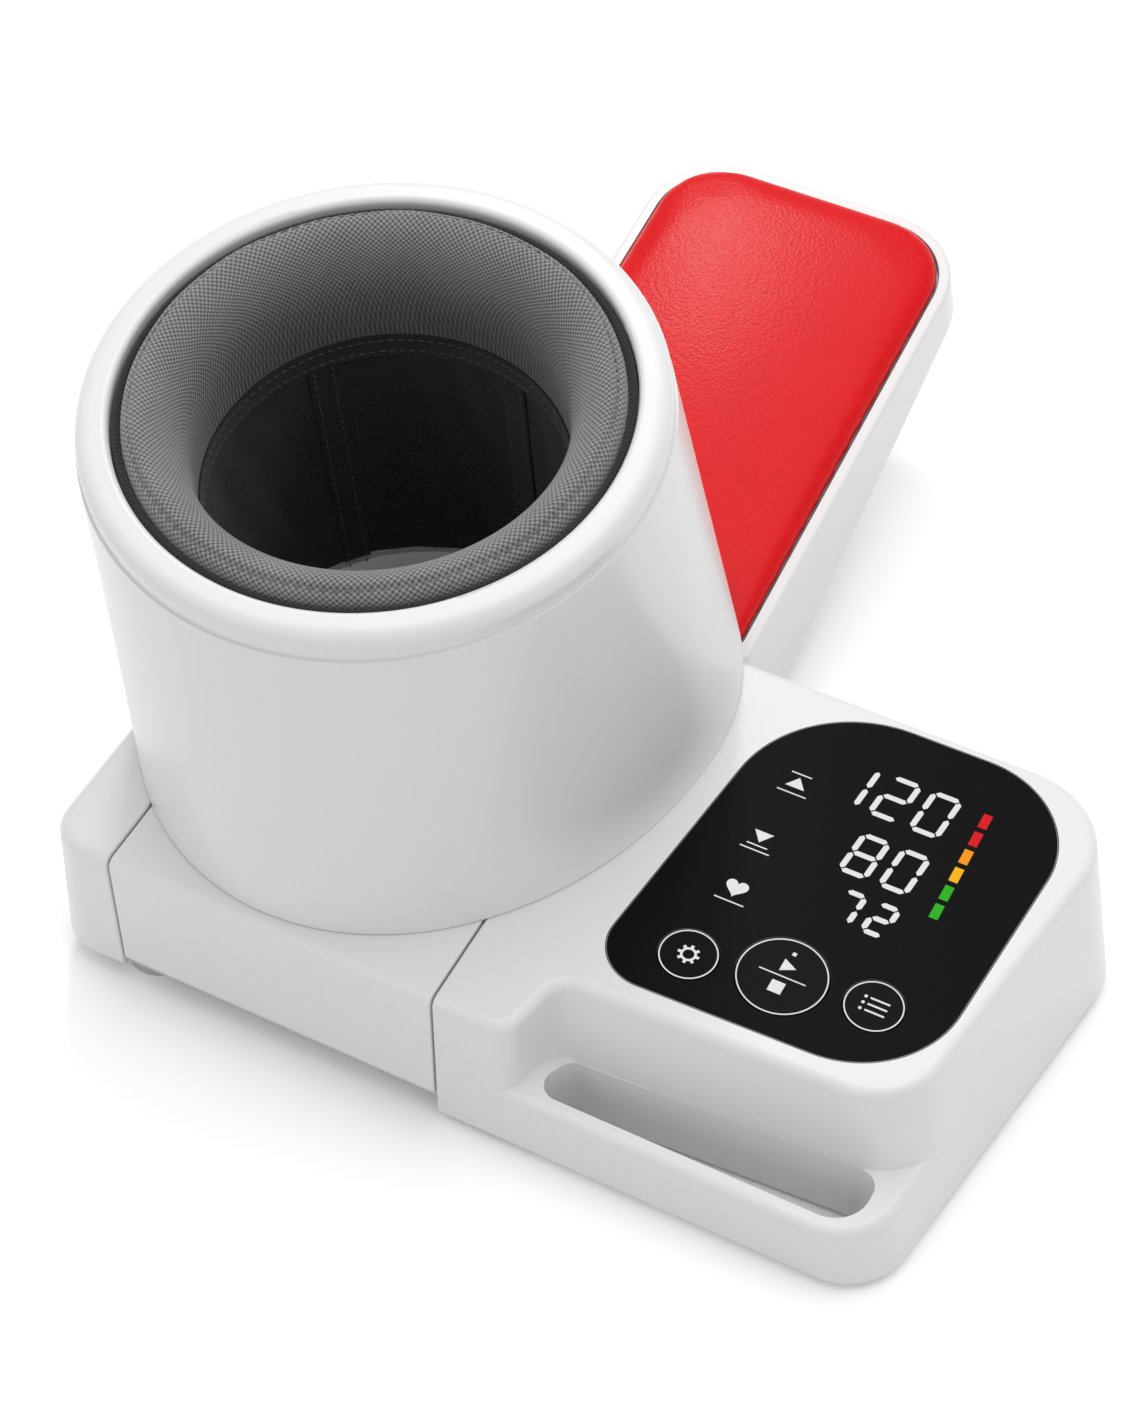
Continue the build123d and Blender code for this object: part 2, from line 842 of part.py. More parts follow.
with BuildPart() as drum_floor:
    add(foot_outline(foot_level, drum_wall + clearance + floor_draft))
    extrude(amount=drum_floor_thickness)
    with BuildSketch(drum_plane.offset(-drum_reach)):
        Circle(throat)
    extrude(amount=drum_reach, mode=Mode.SUBTRACT)
    with BuildSketch(Plane.XY.offset(foot_level)):
        with Locations(bore_centre):
            with PolarLocations(mount_circle, mount_count, start_angle=mount_turn):
                Circle(screw_radius + press_gap)
        with Locations(hose_place):
            Circle(hose_radius + clearance)
    extrude(amount=drum_floor_thickness, mode=Mode.SUBTRACT)
finish(drum_floor, "drum_floor")

with BuildPart() as drum_screw_group:
    with BuildSketch(Plane.XY.offset(base_top - wall - screw_head_height)):
        with Locations(bore_centre):
            with PolarLocations(mount_circle, mount_count, start_angle=mount_turn):
                Circle(screw_head)
    extrude(amount=screw_head_height)
    with BuildSketch(Plane.XY.offset(base_top - wall)):
        with Locations(bore_centre):
            with PolarLocations(mount_circle, mount_count, start_angle=mount_turn):
                Circle(screw_radius)
    extrude(amount=wall + foot_gap + drum_floor_thickness)
finish(drum_screw_group, "drum_screws")

# Air hose of the cuff, from the hollow pin up through the drum's floor

pin_end = carriage_right - wall - pin_boss_depth


def hose(path, radius):
    """A hollow tube along a path that starts along X or upright."""
    with BuildPart() as tube:
        with BuildLine() as way:
            add(path)
        with BuildSketch(Plane(origin=way.line @ 0, z_dir=way.line % 0)):
            Circle(radius)
            Circle(radius / 2, mode=Mode.SUBTRACT)
        sweep(path=way.line)
    return tube


with BuildLine() as cuff_route:
    hose_turned = (*hose_place, base_top - 2 * wall)
    hose_end = (*hose_place, floor_top + clearance)
    Spline((pin_end - clearance, *pin_place), hose_turned, tangents=((-1, 0, 0), (0, 0, 1)))
    Line(hose_turned, hose_end)
finish(hose(cuff_route.line, hose_radius), "cuff_hose")

# Display lens with its inlaid figures, and the keys behind it

segment_ends = {
    "a": ((0, 2), (1, 2)),
    "b": ((1, 1), (1, 2)),
    "c": ((1, 0), (1, 1)),
    "d": ((0, 0), (1, 0)),
    "e": ((0, 0), (0, 1)),
    "f": ((0, 1), (0, 2)),
    "g": ((0, 1), (1, 1)),
}
lit_segments = {"0": "abcdef", "1": "bc", "2": "abged", "7": "abc", "8": "abcdefg"}


def segment(corner, width, height, ends):
    """A long hexagon between two corners of a digit's frame, slanted with the digit."""
    (x1, y1), (x2, y2) = [(end[0] * width, end[1] * height / 2) for end in ends]
    length = max(x2 - x1, y2 - y1)
    along = ((x2 - x1) / length, (y2 - y1) / length)
    half = digit_stroke / 2
    points = []
    for run, side in ((0, 0), (half, half), (-half, half), (0, 0), (-half, -half), (half, -half)):
        start = len(points) in (0, 1, 5)
        base_x, base_y = (x1, y1) if start else (x2, y2)
        step = run + (digit_gap if start else -digit_gap)
        x = base_x + along[0] * step - along[1] * side
        y = base_y + along[1] * step + along[0] * side
        points.append((corner[0] + x + y * tan(radians(digit_slant)), corner[1] + y))
    return points


def figures(level):
    """All lit segments of the three readings, each row set flush right."""
    with BuildSketch(Plane.XY.offset(level)) as lit:
        for text, low, height, width, pitch in digit_rows:
            for place, digit in enumerate(reversed(text)):
                corner = at(digits_right - width - place * pitch, low)
                for name in lit_segments[digit]:
                    ends = segment_ends[name]
                    points = segment(corner, width - digit_stroke, height - digit_stroke, ends)
                    Polygon(*points, align=None)
    return lit.sketch


def level_bars(level, first, count):
    with BuildSketch(Plane.XY.offset(level)) as bars:
        for step in range(first, first + count):
            with Locations(at(bar_left + bar_width / 2, bar_first + step * bar_pitch + bar_height / 2)):
                Rectangle(bar_width, bar_height)
    return bars.sketch


with BuildPart() as display_lens:
    add(loop(lens_corners, lens_corner_radii, lens_bottom))
    extrude(amount=lens_thickness)
    fillet(faces().sort_by(Axis.Z)[-1].edges(), lens_round)
    for centre, radius in zip(key_centres, key_radii):
        with BuildSketch(Plane.XY.offset(lens_bottom)):
            with Locations(centre):
                Circle(radius + clearance)
        extrude(amount=lens_thickness, mode=Mode.SUBTRACT)
    extrude(figures(base_top - inlay), amount=inlay, mode=Mode.SUBTRACT)
    extrude(level_bars(base_top - inlay, 0, 2 * len(bar_pairs)), amount=inlay, mode=Mode.SUBTRACT)
finish(display_lens, "display_lens")

with BuildPart() as display_digits:
    extrude(figures(base_top - inlay), amount=inlay)
finish(display_digits, "display_digits")

for pair, name in enumerate(bar_pairs):
    with BuildPart() as bar_pair:
        extrude(level_bars(base_top - inlay, 2 * pair, 2), amount=inlay)
    finish(bar_pair, name)

for centre, radius, name in zip(key_centres, key_radii, key_names):
    with BuildPart() as key:
        with BuildSketch(Plane.XY.offset(key_bottom)):
            with Locations(centre):
                Circle(radius)
        extrude(amount=base_top - key_bottom)
        fillet(edges().group_by(Axis.Z)[-1], key_round)
        with BuildSketch(Plane.XY.offset(key_bottom)):
            with Locations(centre):
                Circle(radius + key_flange)
        extrude(amount=key_flange_height)
        with BuildSketch(Plane.XY.offset(key_bottom)):
            with Locations(centre):
                Circle(key_stem_radius)
        extrude(amount=-key_stem_length)
    finish(key, name)

# Display board with its parts

with BuildPart() as display_board:
    add(loop(lens_corners, lens_corner_radii, board_top - board_thickness, board_inset))
    extrude(amount=board_thickness)
finish(display_board, "display_board")

with BuildPart() as led_module:
    with BuildSketch(Plane.XY.offset(board_top)):
        with Locations(at(*module_centre)):
            Rectangle(*module_size)
    extrude(amount=lens_bottom - board_top - clearance)
finish(led_module, "led_display_module")

with BuildPart() as tact_switches:
    with BuildSketch(Plane.XY.offset(board_top)):
        with Locations(*key_centres):
            Rectangle(switch_width, switch_width)
    extrude(amount=switch_height)
    with BuildSketch(Plane.XY.offset(board_top + switch_height)):
        with Locations(*key_centres):
            Circle(switch_button_radius)
    extrude(amount=switch_button_height)
finish(tact_switches, "tact_switches")

with BuildPart() as beeper:
    with BuildSketch(Plane.XY.offset(board_top - board_thickness)):
        with Locations(at(*beeper_place)):
            Circle(beeper_radius)
    extrude(amount=-beeper_height)
finish(beeper, "beeper")


def block(corner, size):
    """A box given by its corner of least x, y and z, and its size."""
    with BuildPart() as box:
        with Locations(corner):
            Box(*size, align=Align.MIN)
    return box.part


def placed(across, depth, level):
    return (*at(across, depth), level)


# Main board on the pan's stands

main_board_level = pan_top + stand_height
main_board_top = main_board_level + board_thickness


def on_board(place, level):
    """A place on the main board, measured from its front left corner."""
    return placed(main_board_left + place[0], main_board_front + place[1], level)


with BuildPart() as main_board:
    add(block(on_board((0, 0), main_board_level), (main_board_width, main_board_depth, board_thickness)))
finish(main_board, "main_board")

with BuildPart() as board_chips:
    for place, size in zip(chip_places, chip_sizes):
        add(block(on_board(place, main_board_top), size))
finish(board_chips, "board_chips")

with BuildPart() as pressure_sensor:
    add(block(on_board(sensor_place, main_board_top), (sensor_width, sensor_width, sensor_height)))
    with BuildSketch(Plane.XY.offset(main_board_top + sensor_height)):
        with Locations(on_board([side + sensor_width / 2 for side in sensor_place], 0)[:2]):
            Circle(sensor_port_radius)
    extrude(amount=sensor_port_height)
finish(pressure_sensor, "pressure_sensor")

with BuildPart() as display_cable:
    cable_height = board_top - board_thickness - main_board_top
    add(block(on_board(cable_place, main_board_top), (cable_width, cable_thickness, cable_height)))
finish(display_cable, "display_cable")

# Air pump, valve and their hoses

pump_bottom = pump_axis_level - pump_height / 2
pump_front = pump_axis_depth - pump_width / 2
valve_top = pan_top + valve_height

with BuildPart() as air_pump:
    add(block(placed(pump_left, pump_front, pump_bottom), (pump_length, pump_width, pump_height)))
    with BuildSketch(Plane.YZ.offset(seam_right + pump_left + pump_length)):
        with Locations((front + pump_axis_depth, pump_axis_level)):
            Circle(motor_radius)
    extrude(amount=motor_length)
    with BuildSketch(Plane.XZ.offset(-(front + pump_front))):
        with Locations((seam_right + pump_port_across, pump_port_level)):
            Circle(hose_radius)
    extrude(amount=nozzle_length)
finish(air_pump, "air_pump")

with BuildPart() as pump_cushion:
    cushion_length = pump_length + motor_length - 2 * cushion_inset
    cushion_width = pump_width - 2 * cushion_inset
    add(block(
        placed(pump_left + cushion_inset, pump_front + cushion_inset, pan_top),
        (cushion_length, cushion_width, pump_bottom - pan_top),
    ))
finish(pump_cushion, "pump_cushion")

with BuildPart() as exhaust_valve:
    with BuildSketch(Plane.XY.offset(pan_top)):
        with Locations(at(valve_across, pump_axis_depth)):
            Circle(valve_radius)
    extrude(amount=valve_height)
finish(exhaust_valve, "exhaust_valve")

with BuildLine() as pump_route:
    Spline(
        (seam_right + wall + pin_boss_depth, pin_place[0], pin_place[1]),
        placed(pump_port_across, pump_front - nozzle_length, pump_port_level),
        tangents=((1, 0, 0), (0, 1, 0)),
    )
finish(hose(pump_route.line, hose_radius), "pump_hose")

with BuildLine() as valve_route:
    Spline(
        placed(valve_port_across, pump_axis_depth, pump_bottom + pump_height),
        placed(valve_hose_crest[0], pump_axis_depth, valve_hose_crest[1]),
        placed(valve_across, pump_axis_depth, valve_top),
        tangents=((0, 0, 1), (0, 0, -1)),
    )
finish(hose(valve_route.line, hose_radius), "valve_hose")

# Battery compartment, cells and door

box_left = door_centre[0] - door_width / 2 + door_lip
box_length = door_width - 2 * door_lip
box_low = door_centre[1] - door_height / 2 + door_lip
box_height = door_height - 2 * door_lip
cell_levels = (box_low + box_height / 4, box_low + box_height * 3 / 4)
cell_depth = box_front + box_wall + cell_radius + clearance

with BuildPart() as battery_box:
    add(block(
        (box_left - box_wall, box_front, pan_top),
        (box_length + 2 * box_wall, box_depth, box_low + box_height + box_wall - pan_top),
    ))
    cell_room = block((box_left, box_front + box_wall, box_low), (box_length, box_depth, box_height))
    add(cell_room, mode=Mode.SUBTRACT)
    # Shelf between the two rows of cells
    add(block(
        (box_left, box_front + box_wall, door_centre[1] - box_wall / 2),
        (box_length, box_depth - box_wall, box_wall),
    ))
finish(battery_box, "battery_box")

with BuildPart() as battery_cells:
    for level in cell_levels:
        for start in (door_centre[0] - cell_length, door_centre[0]):
            with BuildSketch(Plane.YZ.offset(start)):
                with Locations((cell_depth, level)):
                    Circle(cell_radius)
            extrude(amount=cell_length - cell_nub)
            with BuildSketch(Plane.YZ.offset(start + cell_length - cell_nub)):
                with Locations((cell_depth, level)):
                    Circle(cell_nub_radius)
            extrude(amount=cell_nub)
finish(battery_cells, "battery_cells")

with BuildPart() as battery_contacts:
    for level in cell_levels:
        for start in (box_left, box_left + box_length - contact_gap):
            with BuildSketch(Plane.YZ.offset(start)):
                with Locations((cell_depth, level)):
                    Circle(contact_radius)
            extrude(amount=contact_gap)
    for low in (box_low, door_centre[1]):
        add(block(
            (box_left, cell_depth - contact_plate_width / 2, low + wall),
            (contact_plate, contact_plate_width, box_height / 2 - 2 * wall),
        ))
finish(battery_contacts, "battery_contacts")

with BuildPart() as battery_door:
    with BuildSketch(Plane.XZ.offset(-back)):
        with Locations(door_centre):
            Rectangle(door_width, door_height)
    extrude(amount=door_rebate - door_seat)
    with BuildSketch(Plane.XZ.offset(-(back - door_rebate + door_seat))):
        with Locations(door_centre):
            Rectangle(box_length - 2 * clearance, box_height - 2 * clearance)
    extrude(amount=wall - door_rebate)
    with BuildSketch(Plane.XZ.offset(-back)):
        with Locations((door_centre[0], door_centre[1] + thumb_rise)):
            SlotOverall(thumb_width, thumb_height)
    extrude(amount=thumb_depth, mode=Mode.SUBTRACT)
finish(battery_door, "battery_door")

# Power inlet in the end housing

inlet_front = back - wall - inlet_body[1]

with BuildPart() as dc_inlet:
    add(block(
        (inlet_place[0] - inlet_body[0] / 2, inlet_front, inlet_place[1] - inlet_body[2] / 2),
        inlet_body,
    ))
    with BuildSketch(Plane.XZ.offset(-(back - wall))):
        with Locations(inlet_place):
            Circle(inlet_nose_radius)
    extrude(amount=-(wall - clearance))
    with BuildSketch(Plane.XZ.offset(-(back - clearance))):
        with Locations(inlet_place):
            Circle(inlet_socket_radius)
            Circle(inlet_pin_radius, mode=Mode.SUBTRACT)
    extrude(amount=inlet_socket_depth, mode=Mode.SUBTRACT)
    with BuildSketch(Plane.XZ.offset(-(back - clearance))):
        with Locations(inlet_place):
            Circle(inlet_pin_radius)
    extrude(amount=inlet_pin_setback, mode=Mode.SUBTRACT)
finish(dc_inlet, "dc_inlet")

# Washers in the two seams

with BuildPart() as washers:
    for start in (seam_left, seam_right - washer_thickness):
        with BuildSketch(Plane.YZ.offset(start)):
            with Locations(pin_place):
                Circle(washer_radius)
                Circle(pin_radius + press_gap, mode=Mode.SUBTRACT)
        extrude(amount=washer_thickness)
finish(washers, "friction_washers")

# Arm rest: a wedge-shaped tray on a hinge, with a padded top

rest_half_width = (rest_right - rest_left) / 2
rest_middle = seam_right + (rest_left + rest_right) / 2
rest_plane = Plane(
    origin=(rest_middle, front + rest_start, rest_level),
    x_dir=(1, 0, 0),
    z_dir=(0, -sin(radians(rest_slope)), cos(radians(rest_slope))),
)
under_plane = Plane(
    origin=(rest_middle, front + rest_underside_start, 0),
    x_dir=(1, 0, 0),
    z_dir=(0, -sin(radians(rest_underside_slope)), cos(radians(rest_underside_slope))),
)
rest_axis = Axis(rest_plane.origin, rest_plane.z_dir)
rest_pin = (front + rest_pin_back, rest_pin_height)
knuckle_start = seam_right + knuckle_left
knuckle_end = seam_right + knuckle_right
deck_level = -(rest_pocket + rest_deck)


def rest_outline(level, inset=0.0, spread=0.0):
    """Outline of the arm rest at a level below its rim, in the plane of the rim."""
    with BuildSketch(rest_plane.offset(level)) as outline:
        with BuildLine():
            FilletPolyline(
                (-rest_half_width + inset - spread, inset - spread),
                (rest_half_width - inset + spread, inset - spread),
                (rest_half_width - inset + spread, rest_length - inset + spread),
                (-rest_half_width + inset - spread, rest_length - inset + spread),
                radius=(rest_root_corner, rest_root_corner, rest_corner - inset, rest_corner - inset),
                close=True,
            )
        make_face()
    return outline.sketch


with BuildPart() as rest_cavity:
    add(rest_outline(deck_level, wall, rest_draft * -deck_level / rest_drop))
    add(rest_outline(-rest_drop, wall, rest_draft))
    loft()

with BuildPart() as rest_posts:
    with BuildSketch(under_plane.offset(cover_thickness)):
        with Locations(*rest_post_places):
            Circle(boss_radius)
            Circle(screw_radius + press_gap, mode=Mode.SUBTRACT)
    extrude(amount=rest_drop)
    split(bisect_by=rest_plane.offset(deck_level), keep=Keep.BOTTOM)

with BuildPart() as rest_notch:
    notch_width = knuckle_end - knuckle_start + 2 * knuckle_gap
    notch_depth = rest_pin_back + knuckle_radius + wall - base_depth
    add(block((knuckle_start - knuckle_gap, back, 0), (notch_width, notch_depth, notch_top)))

with BuildPart() as rest_tray:
    add(rest_outline(0))
    add(rest_outline(-rest_drop, spread=rest_draft))
    loft()
    split(bisect_by=under_plane, keep=Keep.TOP)
    split(bisect_by=Plane.XY.offset(rest_floor), keep=Keep.TOP)
    fillet(faces().sort_by(rest_axis)[-1].edges(), rest_round)
    pocket = rest_outline(-rest_pocket, rest_rim)
    extrude(pocket, amount=2 * rest_pocket, dir=rest_plane.z_dir, mode=Mode.SUBTRACT)
    add(rest_cavity.part, mode=Mode.SUBTRACT)
    add(rest_posts.part)
    for cheek_start in (knuckle_start - knuckle_gap - cheek, knuckle_end + knuckle_gap):
        with BuildSketch(Plane.YZ.offset(cheek_start)):
            with Locations(rest_pin):
                Circle(cheek_radius)
            with Locations((rest_pin[0] + cheek_shift, rest_pin[1] + cheek_rise / 2)):
                Rectangle(2 * cheek_radius - 2 * cheek_shift, cheek_rise)
        extrude(amount=cheek)
    with BuildSketch(Plane.YZ.offset(knuckle_start - knuckle_gap - cheek)):
        with Locations(rest_pin):
            Circle(rest_pin_radius + pin_fit)
    extrude(amount=knuckle_end - knuckle_start + 2 * (knuckle_gap + cheek), mode=Mode.SUBTRACT)
    add(rest_notch.part, mode=Mode.SUBTRACT)
finish(rest_tray, "rest_tray")

with BuildPart() as rest_cover:
    add(rest_outline(deck_level, wall + clearance, rest_draft * -deck_level / rest_drop))
    add(rest_outline(-rest_drop, wall + clearance, rest_draft))
    loft()
    split(bisect_by=under_plane, keep=Keep.TOP)
    split(bisect_by=under_plane.offset(cover_thickness), keep=Keep.BOTTOM)
    split(bisect_by=Plane.XY.offset(rest_floor), keep=Keep.TOP)
    add(rest_notch.part, mode=Mode.SUBTRACT)
    for cheek_start in (knuckle_start - knuckle_gap - cheek, knuckle_end + knuckle_gap):
        with BuildSketch(Plane.YZ.offset(cheek_start - clearance)):
            with Locations(rest_pin):
                Circle(cheek_radius + clearance)
        extrude(amount=cheek + 2 * clearance, mode=Mode.SUBTRACT)
    with BuildSketch(under_plane):
        with Locations(*rest_post_places):
            Circle(screw_head + clearance)
    extrude(amount=screw_head_height + clearance, mode=Mode.SUBTRACT)
    with BuildSketch(under_plane):
        with Locations(*rest_post_places):
            Circle(screw_radius + clearance)
    extrude(amount=cover_thickness, mode=Mode.SUBTRACT)
finish(rest_cover, "rest_bottom_cover")

with BuildPart() as rest_screws:
    with BuildSketch(under_plane.offset(clearance)):
        with Locations(*rest_post_places):
            Circle(screw_head)
    extrude(amount=screw_head_height)
    with BuildSketch(under_plane.offset(clearance + screw_head_height)):
        with Locations(*rest_post_places):
            Circle(screw_radius)
    extrude(amount=cover_thickness + rest_screw_grip)
finish(rest_screws, "rest_screws")

with BuildPart() as rest_bumpers:
    with BuildSketch(under_plane):
        with Locations(*((side * bumper_across, rest_length - bumper_inset) for side in (-1, 1))):
            Circle(bumper_radius)
    extrude(amount=-bumper_height)
finish(rest_bumpers, "rest_bumpers")

with BuildPart() as pad_board:
    extrude(
        rest_outline(-rest_pocket, rest_rim + 2 * pad_gap),
        amount=pad_board_thickness,
        dir=rest_plane.z_dir,
    )
finish(pad_board, "pad_board")

with BuildPart() as rest_pad:
    extrude(
        rest_outline(-rest_pocket + pad_board_thickness, rest_rim + pad_gap),
        amount=rest_pocket - pad_board_thickness + pad_crown,
        dir=rest_plane.z_dir,
    )
    fillet(faces().sort_by(rest_axis)[-1].edges(), pad_round)
finish(rest_pad, "rest_pad")

with BuildPart() as rest_bracket:
    add(block(
        (knuckle_start, front + bracket_start, pan_top),
        (knuckle_end - knuckle_start, rest_pin_back - bracket_start, bracket_thickness),
    ))
    with BuildSketch(Plane.YZ.offset(knuckle_start)):
        with Locations(rest_pin):
            Circle(knuckle_radius)
    extrude(amount=knuckle_end - knuckle_start)
    with BuildSketch(Plane.YZ.offset(knuckle_start)):
        with Locations(rest_pin):
            Circle(rest_pin_radius + press_gap)
    extrude(amount=knuckle_end - knuckle_start, mode=Mode.SUBTRACT)
    with BuildSketch(Plane.XY.offset(pan_top)):
        with Locations(*bracket_screws):
            Circle(screw_radius + press_gap)
    extrude(amount=bracket_thickness, mode=Mode.SUBTRACT)
finish(rest_bracket, "rest_bracket")

with BuildPart() as hinge_pin:
    with BuildSketch(Plane.YZ.offset(knuckle_start - knuckle_gap - cheek)):
        with Locations(rest_pin):
            Circle(rest_pin_radius)
    extrude(amount=knuckle_end - knuckle_start + 2 * (knuckle_gap + cheek))
finish(hinge_pin, "rest_hinge_pin")

bracket_screw_group = screws(bracket_screws, pan_bottom, screw_head_height, pan_thickness + bracket_thickness)
finish(bracket_screw_group, "bracket_screws")
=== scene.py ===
# %% [markdown]
# # An arm-in blood pressure monitor
# The engineering model already has every rigid part at its true size and place. This lesson dresses it:
# it gives each part a finish, and it models again what is sewn or stuffed, because a plain solid can't
# show cloth. The model comes first, so that everything else can be placed by it.

import math

import bpy
from mathutils import Matrix, Vector


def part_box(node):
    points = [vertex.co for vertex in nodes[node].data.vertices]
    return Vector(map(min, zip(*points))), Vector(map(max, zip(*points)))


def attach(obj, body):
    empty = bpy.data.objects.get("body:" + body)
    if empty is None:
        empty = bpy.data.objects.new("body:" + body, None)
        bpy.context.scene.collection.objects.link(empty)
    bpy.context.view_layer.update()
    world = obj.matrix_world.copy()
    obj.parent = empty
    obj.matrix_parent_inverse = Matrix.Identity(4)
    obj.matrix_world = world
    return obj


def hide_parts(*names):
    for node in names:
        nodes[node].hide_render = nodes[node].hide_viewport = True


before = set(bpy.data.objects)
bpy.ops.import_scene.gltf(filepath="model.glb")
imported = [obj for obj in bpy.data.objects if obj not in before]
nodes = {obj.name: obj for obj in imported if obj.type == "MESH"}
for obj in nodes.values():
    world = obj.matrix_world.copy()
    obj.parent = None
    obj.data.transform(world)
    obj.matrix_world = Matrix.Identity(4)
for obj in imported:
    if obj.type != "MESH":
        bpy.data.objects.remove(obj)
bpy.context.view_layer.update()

# %% [markdown]
# The cuff stands in a drum that leans towards the user. Its pieces are easiest to draw upright, about
# the Z axis, and to lean afterwards, so one matrix says where the drum's rim is. A second matrix does
# the same for the top of the arm rest. Heights below the rim are negative.

# %% Places that the new pieces share
mm = 0.001
full_turn = 2 * math.pi
drum_lean = math.radians(7.3)
rim_centre = Vector((-73.4, -94.0, 205.6)) * mm
drum_frame = Matrix.Translation(rim_centre) @ Matrix.Rotation(drum_lean, 4, "X")
rest_slope = math.radians(10.7)
rest_corner = Vector((0.0, -10.5, 48.0)) * mm
lens_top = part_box("display_lens")[1][2]
print("rim centre:", tuple(rim_centre), "lens top:", lens_top)

# %% [markdown]
# Materials are networks of small nodes, and sums of nodes are hard to read as node calls. The class
# below wraps one socket, so that `1 - mask * 0.5` adds the Math nodes by itself. Everything that isn't
# plain arithmetic comes from one method, `Finish.node`, which sets a node's options before its sockets.

# %% Shader values that add up like numbers


class Value:
    """A socket that takes part in sums, and adds the Math nodes that they need."""

    def __init__(self, finish, socket):
        self.finish = finish
        self.socket = socket

    def math(self, operation, first, second=0.0):
        return self.finish.node("ShaderNodeMath", {"operation": operation}, {0: first, 1: second})

    def __add__(self, other):
        return self.math("ADD", self, other)

    def __sub__(self, other):
        return self.math("SUBTRACT", self, other)

    def __rsub__(self, other):
        return self.math("SUBTRACT", other, self)

    def __mul__(self, other):
        return self.math("MULTIPLY", self, other)

    def __pow__(self, other):
        return self.math("POWER", self, other)

    def __gt__(self, other):
        return self.math("GREATER_THAN", self, other)

    def __lt__(self, other):
        return self.math("LESS_THAN", self, other)

    def sine(self):
        return self.math("SINE", self)

    def angle(self, other):
        """The angle whose tangent is this value over the other."""
        return self.math("ARCTAN2", self, other)


class Finish:
    """A material that is being mixed: its nodes, its main shader and helpers to join them."""

    def __init__(self, name, color, roughness, **sockets):
        self.material = bpy.data.materials.new(name)
        self.material.use_nodes = True
        self.tree = self.material.node_tree
        self.shader = self.tree.nodes["Principled BSDF"]
        self.set("Base Color", (*color, 1.0))
        self.set("Roughness", roughness)
        for socket, value in sockets.items():
            self.set(socket.replace("_", " "), value)

    def join(self, socket, value):
        if isinstance(value, Value):
            self.tree.links.new(value.socket, socket)
        else:
            socket.default_value = value

    def set(self, socket, value):
        self.join(self.shader.inputs[socket], value)

    def node(self, kind, settings=None, inputs=None, output=0):
        """Add a node: first its options or its ramp's stops, then the values and links of its sockets."""
        made = self.tree.nodes.new(kind)
        for option, value in (settings or {}).items():
            if option == "stops":
                ramp = made.color_ramp.elements
                while len(ramp) < len(value):
                    ramp.new(0.5)
                for stop, (place, color) in zip(ramp, value):
                    stop.position = place
                    stop.color = (*color, 1.0)
            else:
                setattr(made, option, value)
        for socket, value in (inputs or {}).items():
            self.join(made.inputs[socket], value)
        return Value(self, made.outputs[output])

    def place(self, centre=(0, 0, 0), turn=(0, 0, 0)):
        """Places on the object, or measured from a centre and along turned axes."""
        here = self.node("ShaderNodeTexCoord", output=3)
        return self.node(
            "ShaderNodeMapping",
            {"vector_type": "TEXTURE"},
            {"Vector": here, "Location": centre, "Rotation": turn},
        )

    def split(self, vector):
        parts = self.node("ShaderNodeSeparateXYZ", inputs={0: vector})
        outputs = parts.socket.node.outputs
        return [Value(self, socket) for socket in outputs]

    def noise(self, place, scale, detail=2.0):
        return self.node("ShaderNodeTexNoise", {}, {"Vector": place, "Scale": scale, "Detail": detail})

    def blend(self, share, first, second):
        """A colour between two colours."""
        inputs = {0: share, 6: first, 7: second}
        for key in (6, 7):
            if not isinstance(inputs[key], Value):
                inputs[key] = (*inputs[key], 1.0)
        return self.node("ShaderNodeMix", {"data_type": "RGBA"}, inputs, output=2)

    def emboss(self, height, depth, strength=1.0):
        """Raise the surface by a height between 0 and 1, times a depth in metres."""
        bump = self.node("ShaderNodeBump", {}, {"Strength": strength, "Distance": depth, "Height": height})
        self.set("Normal", bump)


# %% [markdown]
# The housings are white ABS with a satin gloss. Real mouldings are never one flat white: the polish of
# the tool varies, which changes the gloss a little, and the skin has a very fine orange peel.

# %% Plastic, rubber and metal finishes
peel_scale = 1400.0
lens_flat = 0.92


def toned(color, share):
    """A colour with each channel times a share."""
    return [channel * share for channel in color]


def moulded_plastic(name, color, roughness, mottle=0.03, peel=0.00002, **sockets):
    finish = Finish(name, color, roughness, **sockets)
    here = finish.place()
    cloud = finish.noise(here, 14.0, 3.0)
    finish.set("Base Color", finish.blend(cloud, color, toned(color, 1 - mottle)))
    finish.set("Roughness", cloud * 0.10 + (roughness - 0.05))
    finish.emboss(finish.noise(here, peel_scale, 2.0), peel, 0.6)
    return finish.material


def soft_rubber(name, color):
    finish = Finish(name, color, 0.75, Sheen_Weight=0.15)
    here = finish.place()
    dust = finish.noise(here, 220.0, 4.0)
    finish.set("Base Color", finish.blend(dust, color, [channel * 1.35 + 0.01 for channel in color]))
    finish.set("Roughness", dust * 0.2 + 0.62)
    finish.emboss(finish.noise(here, 2600.0, 2.0), 0.00004)
    return finish.material


def drawn_metal(name, color, roughness, across=(1.0, 1.0, 60.0)):
    """Metal with fine lines along the way that it was drawn or turned."""
    finish = Finish(name, color, roughness, Metallic=1.0)
    here = finish.place()
    stretched = finish.node("ShaderNodeVectorMath", {"operation": "MULTIPLY"}, {0: here, 1: across})
    lines = finish.noise(stretched, 90.0, 5.0)
    finish.set("Roughness", lines * 0.25 + (roughness - 0.1))
    finish.set("Base Color", finish.blend(lines, color, toned(color, 0.8)))
    finish.emboss(lines, 0.00002)
    return finish.material


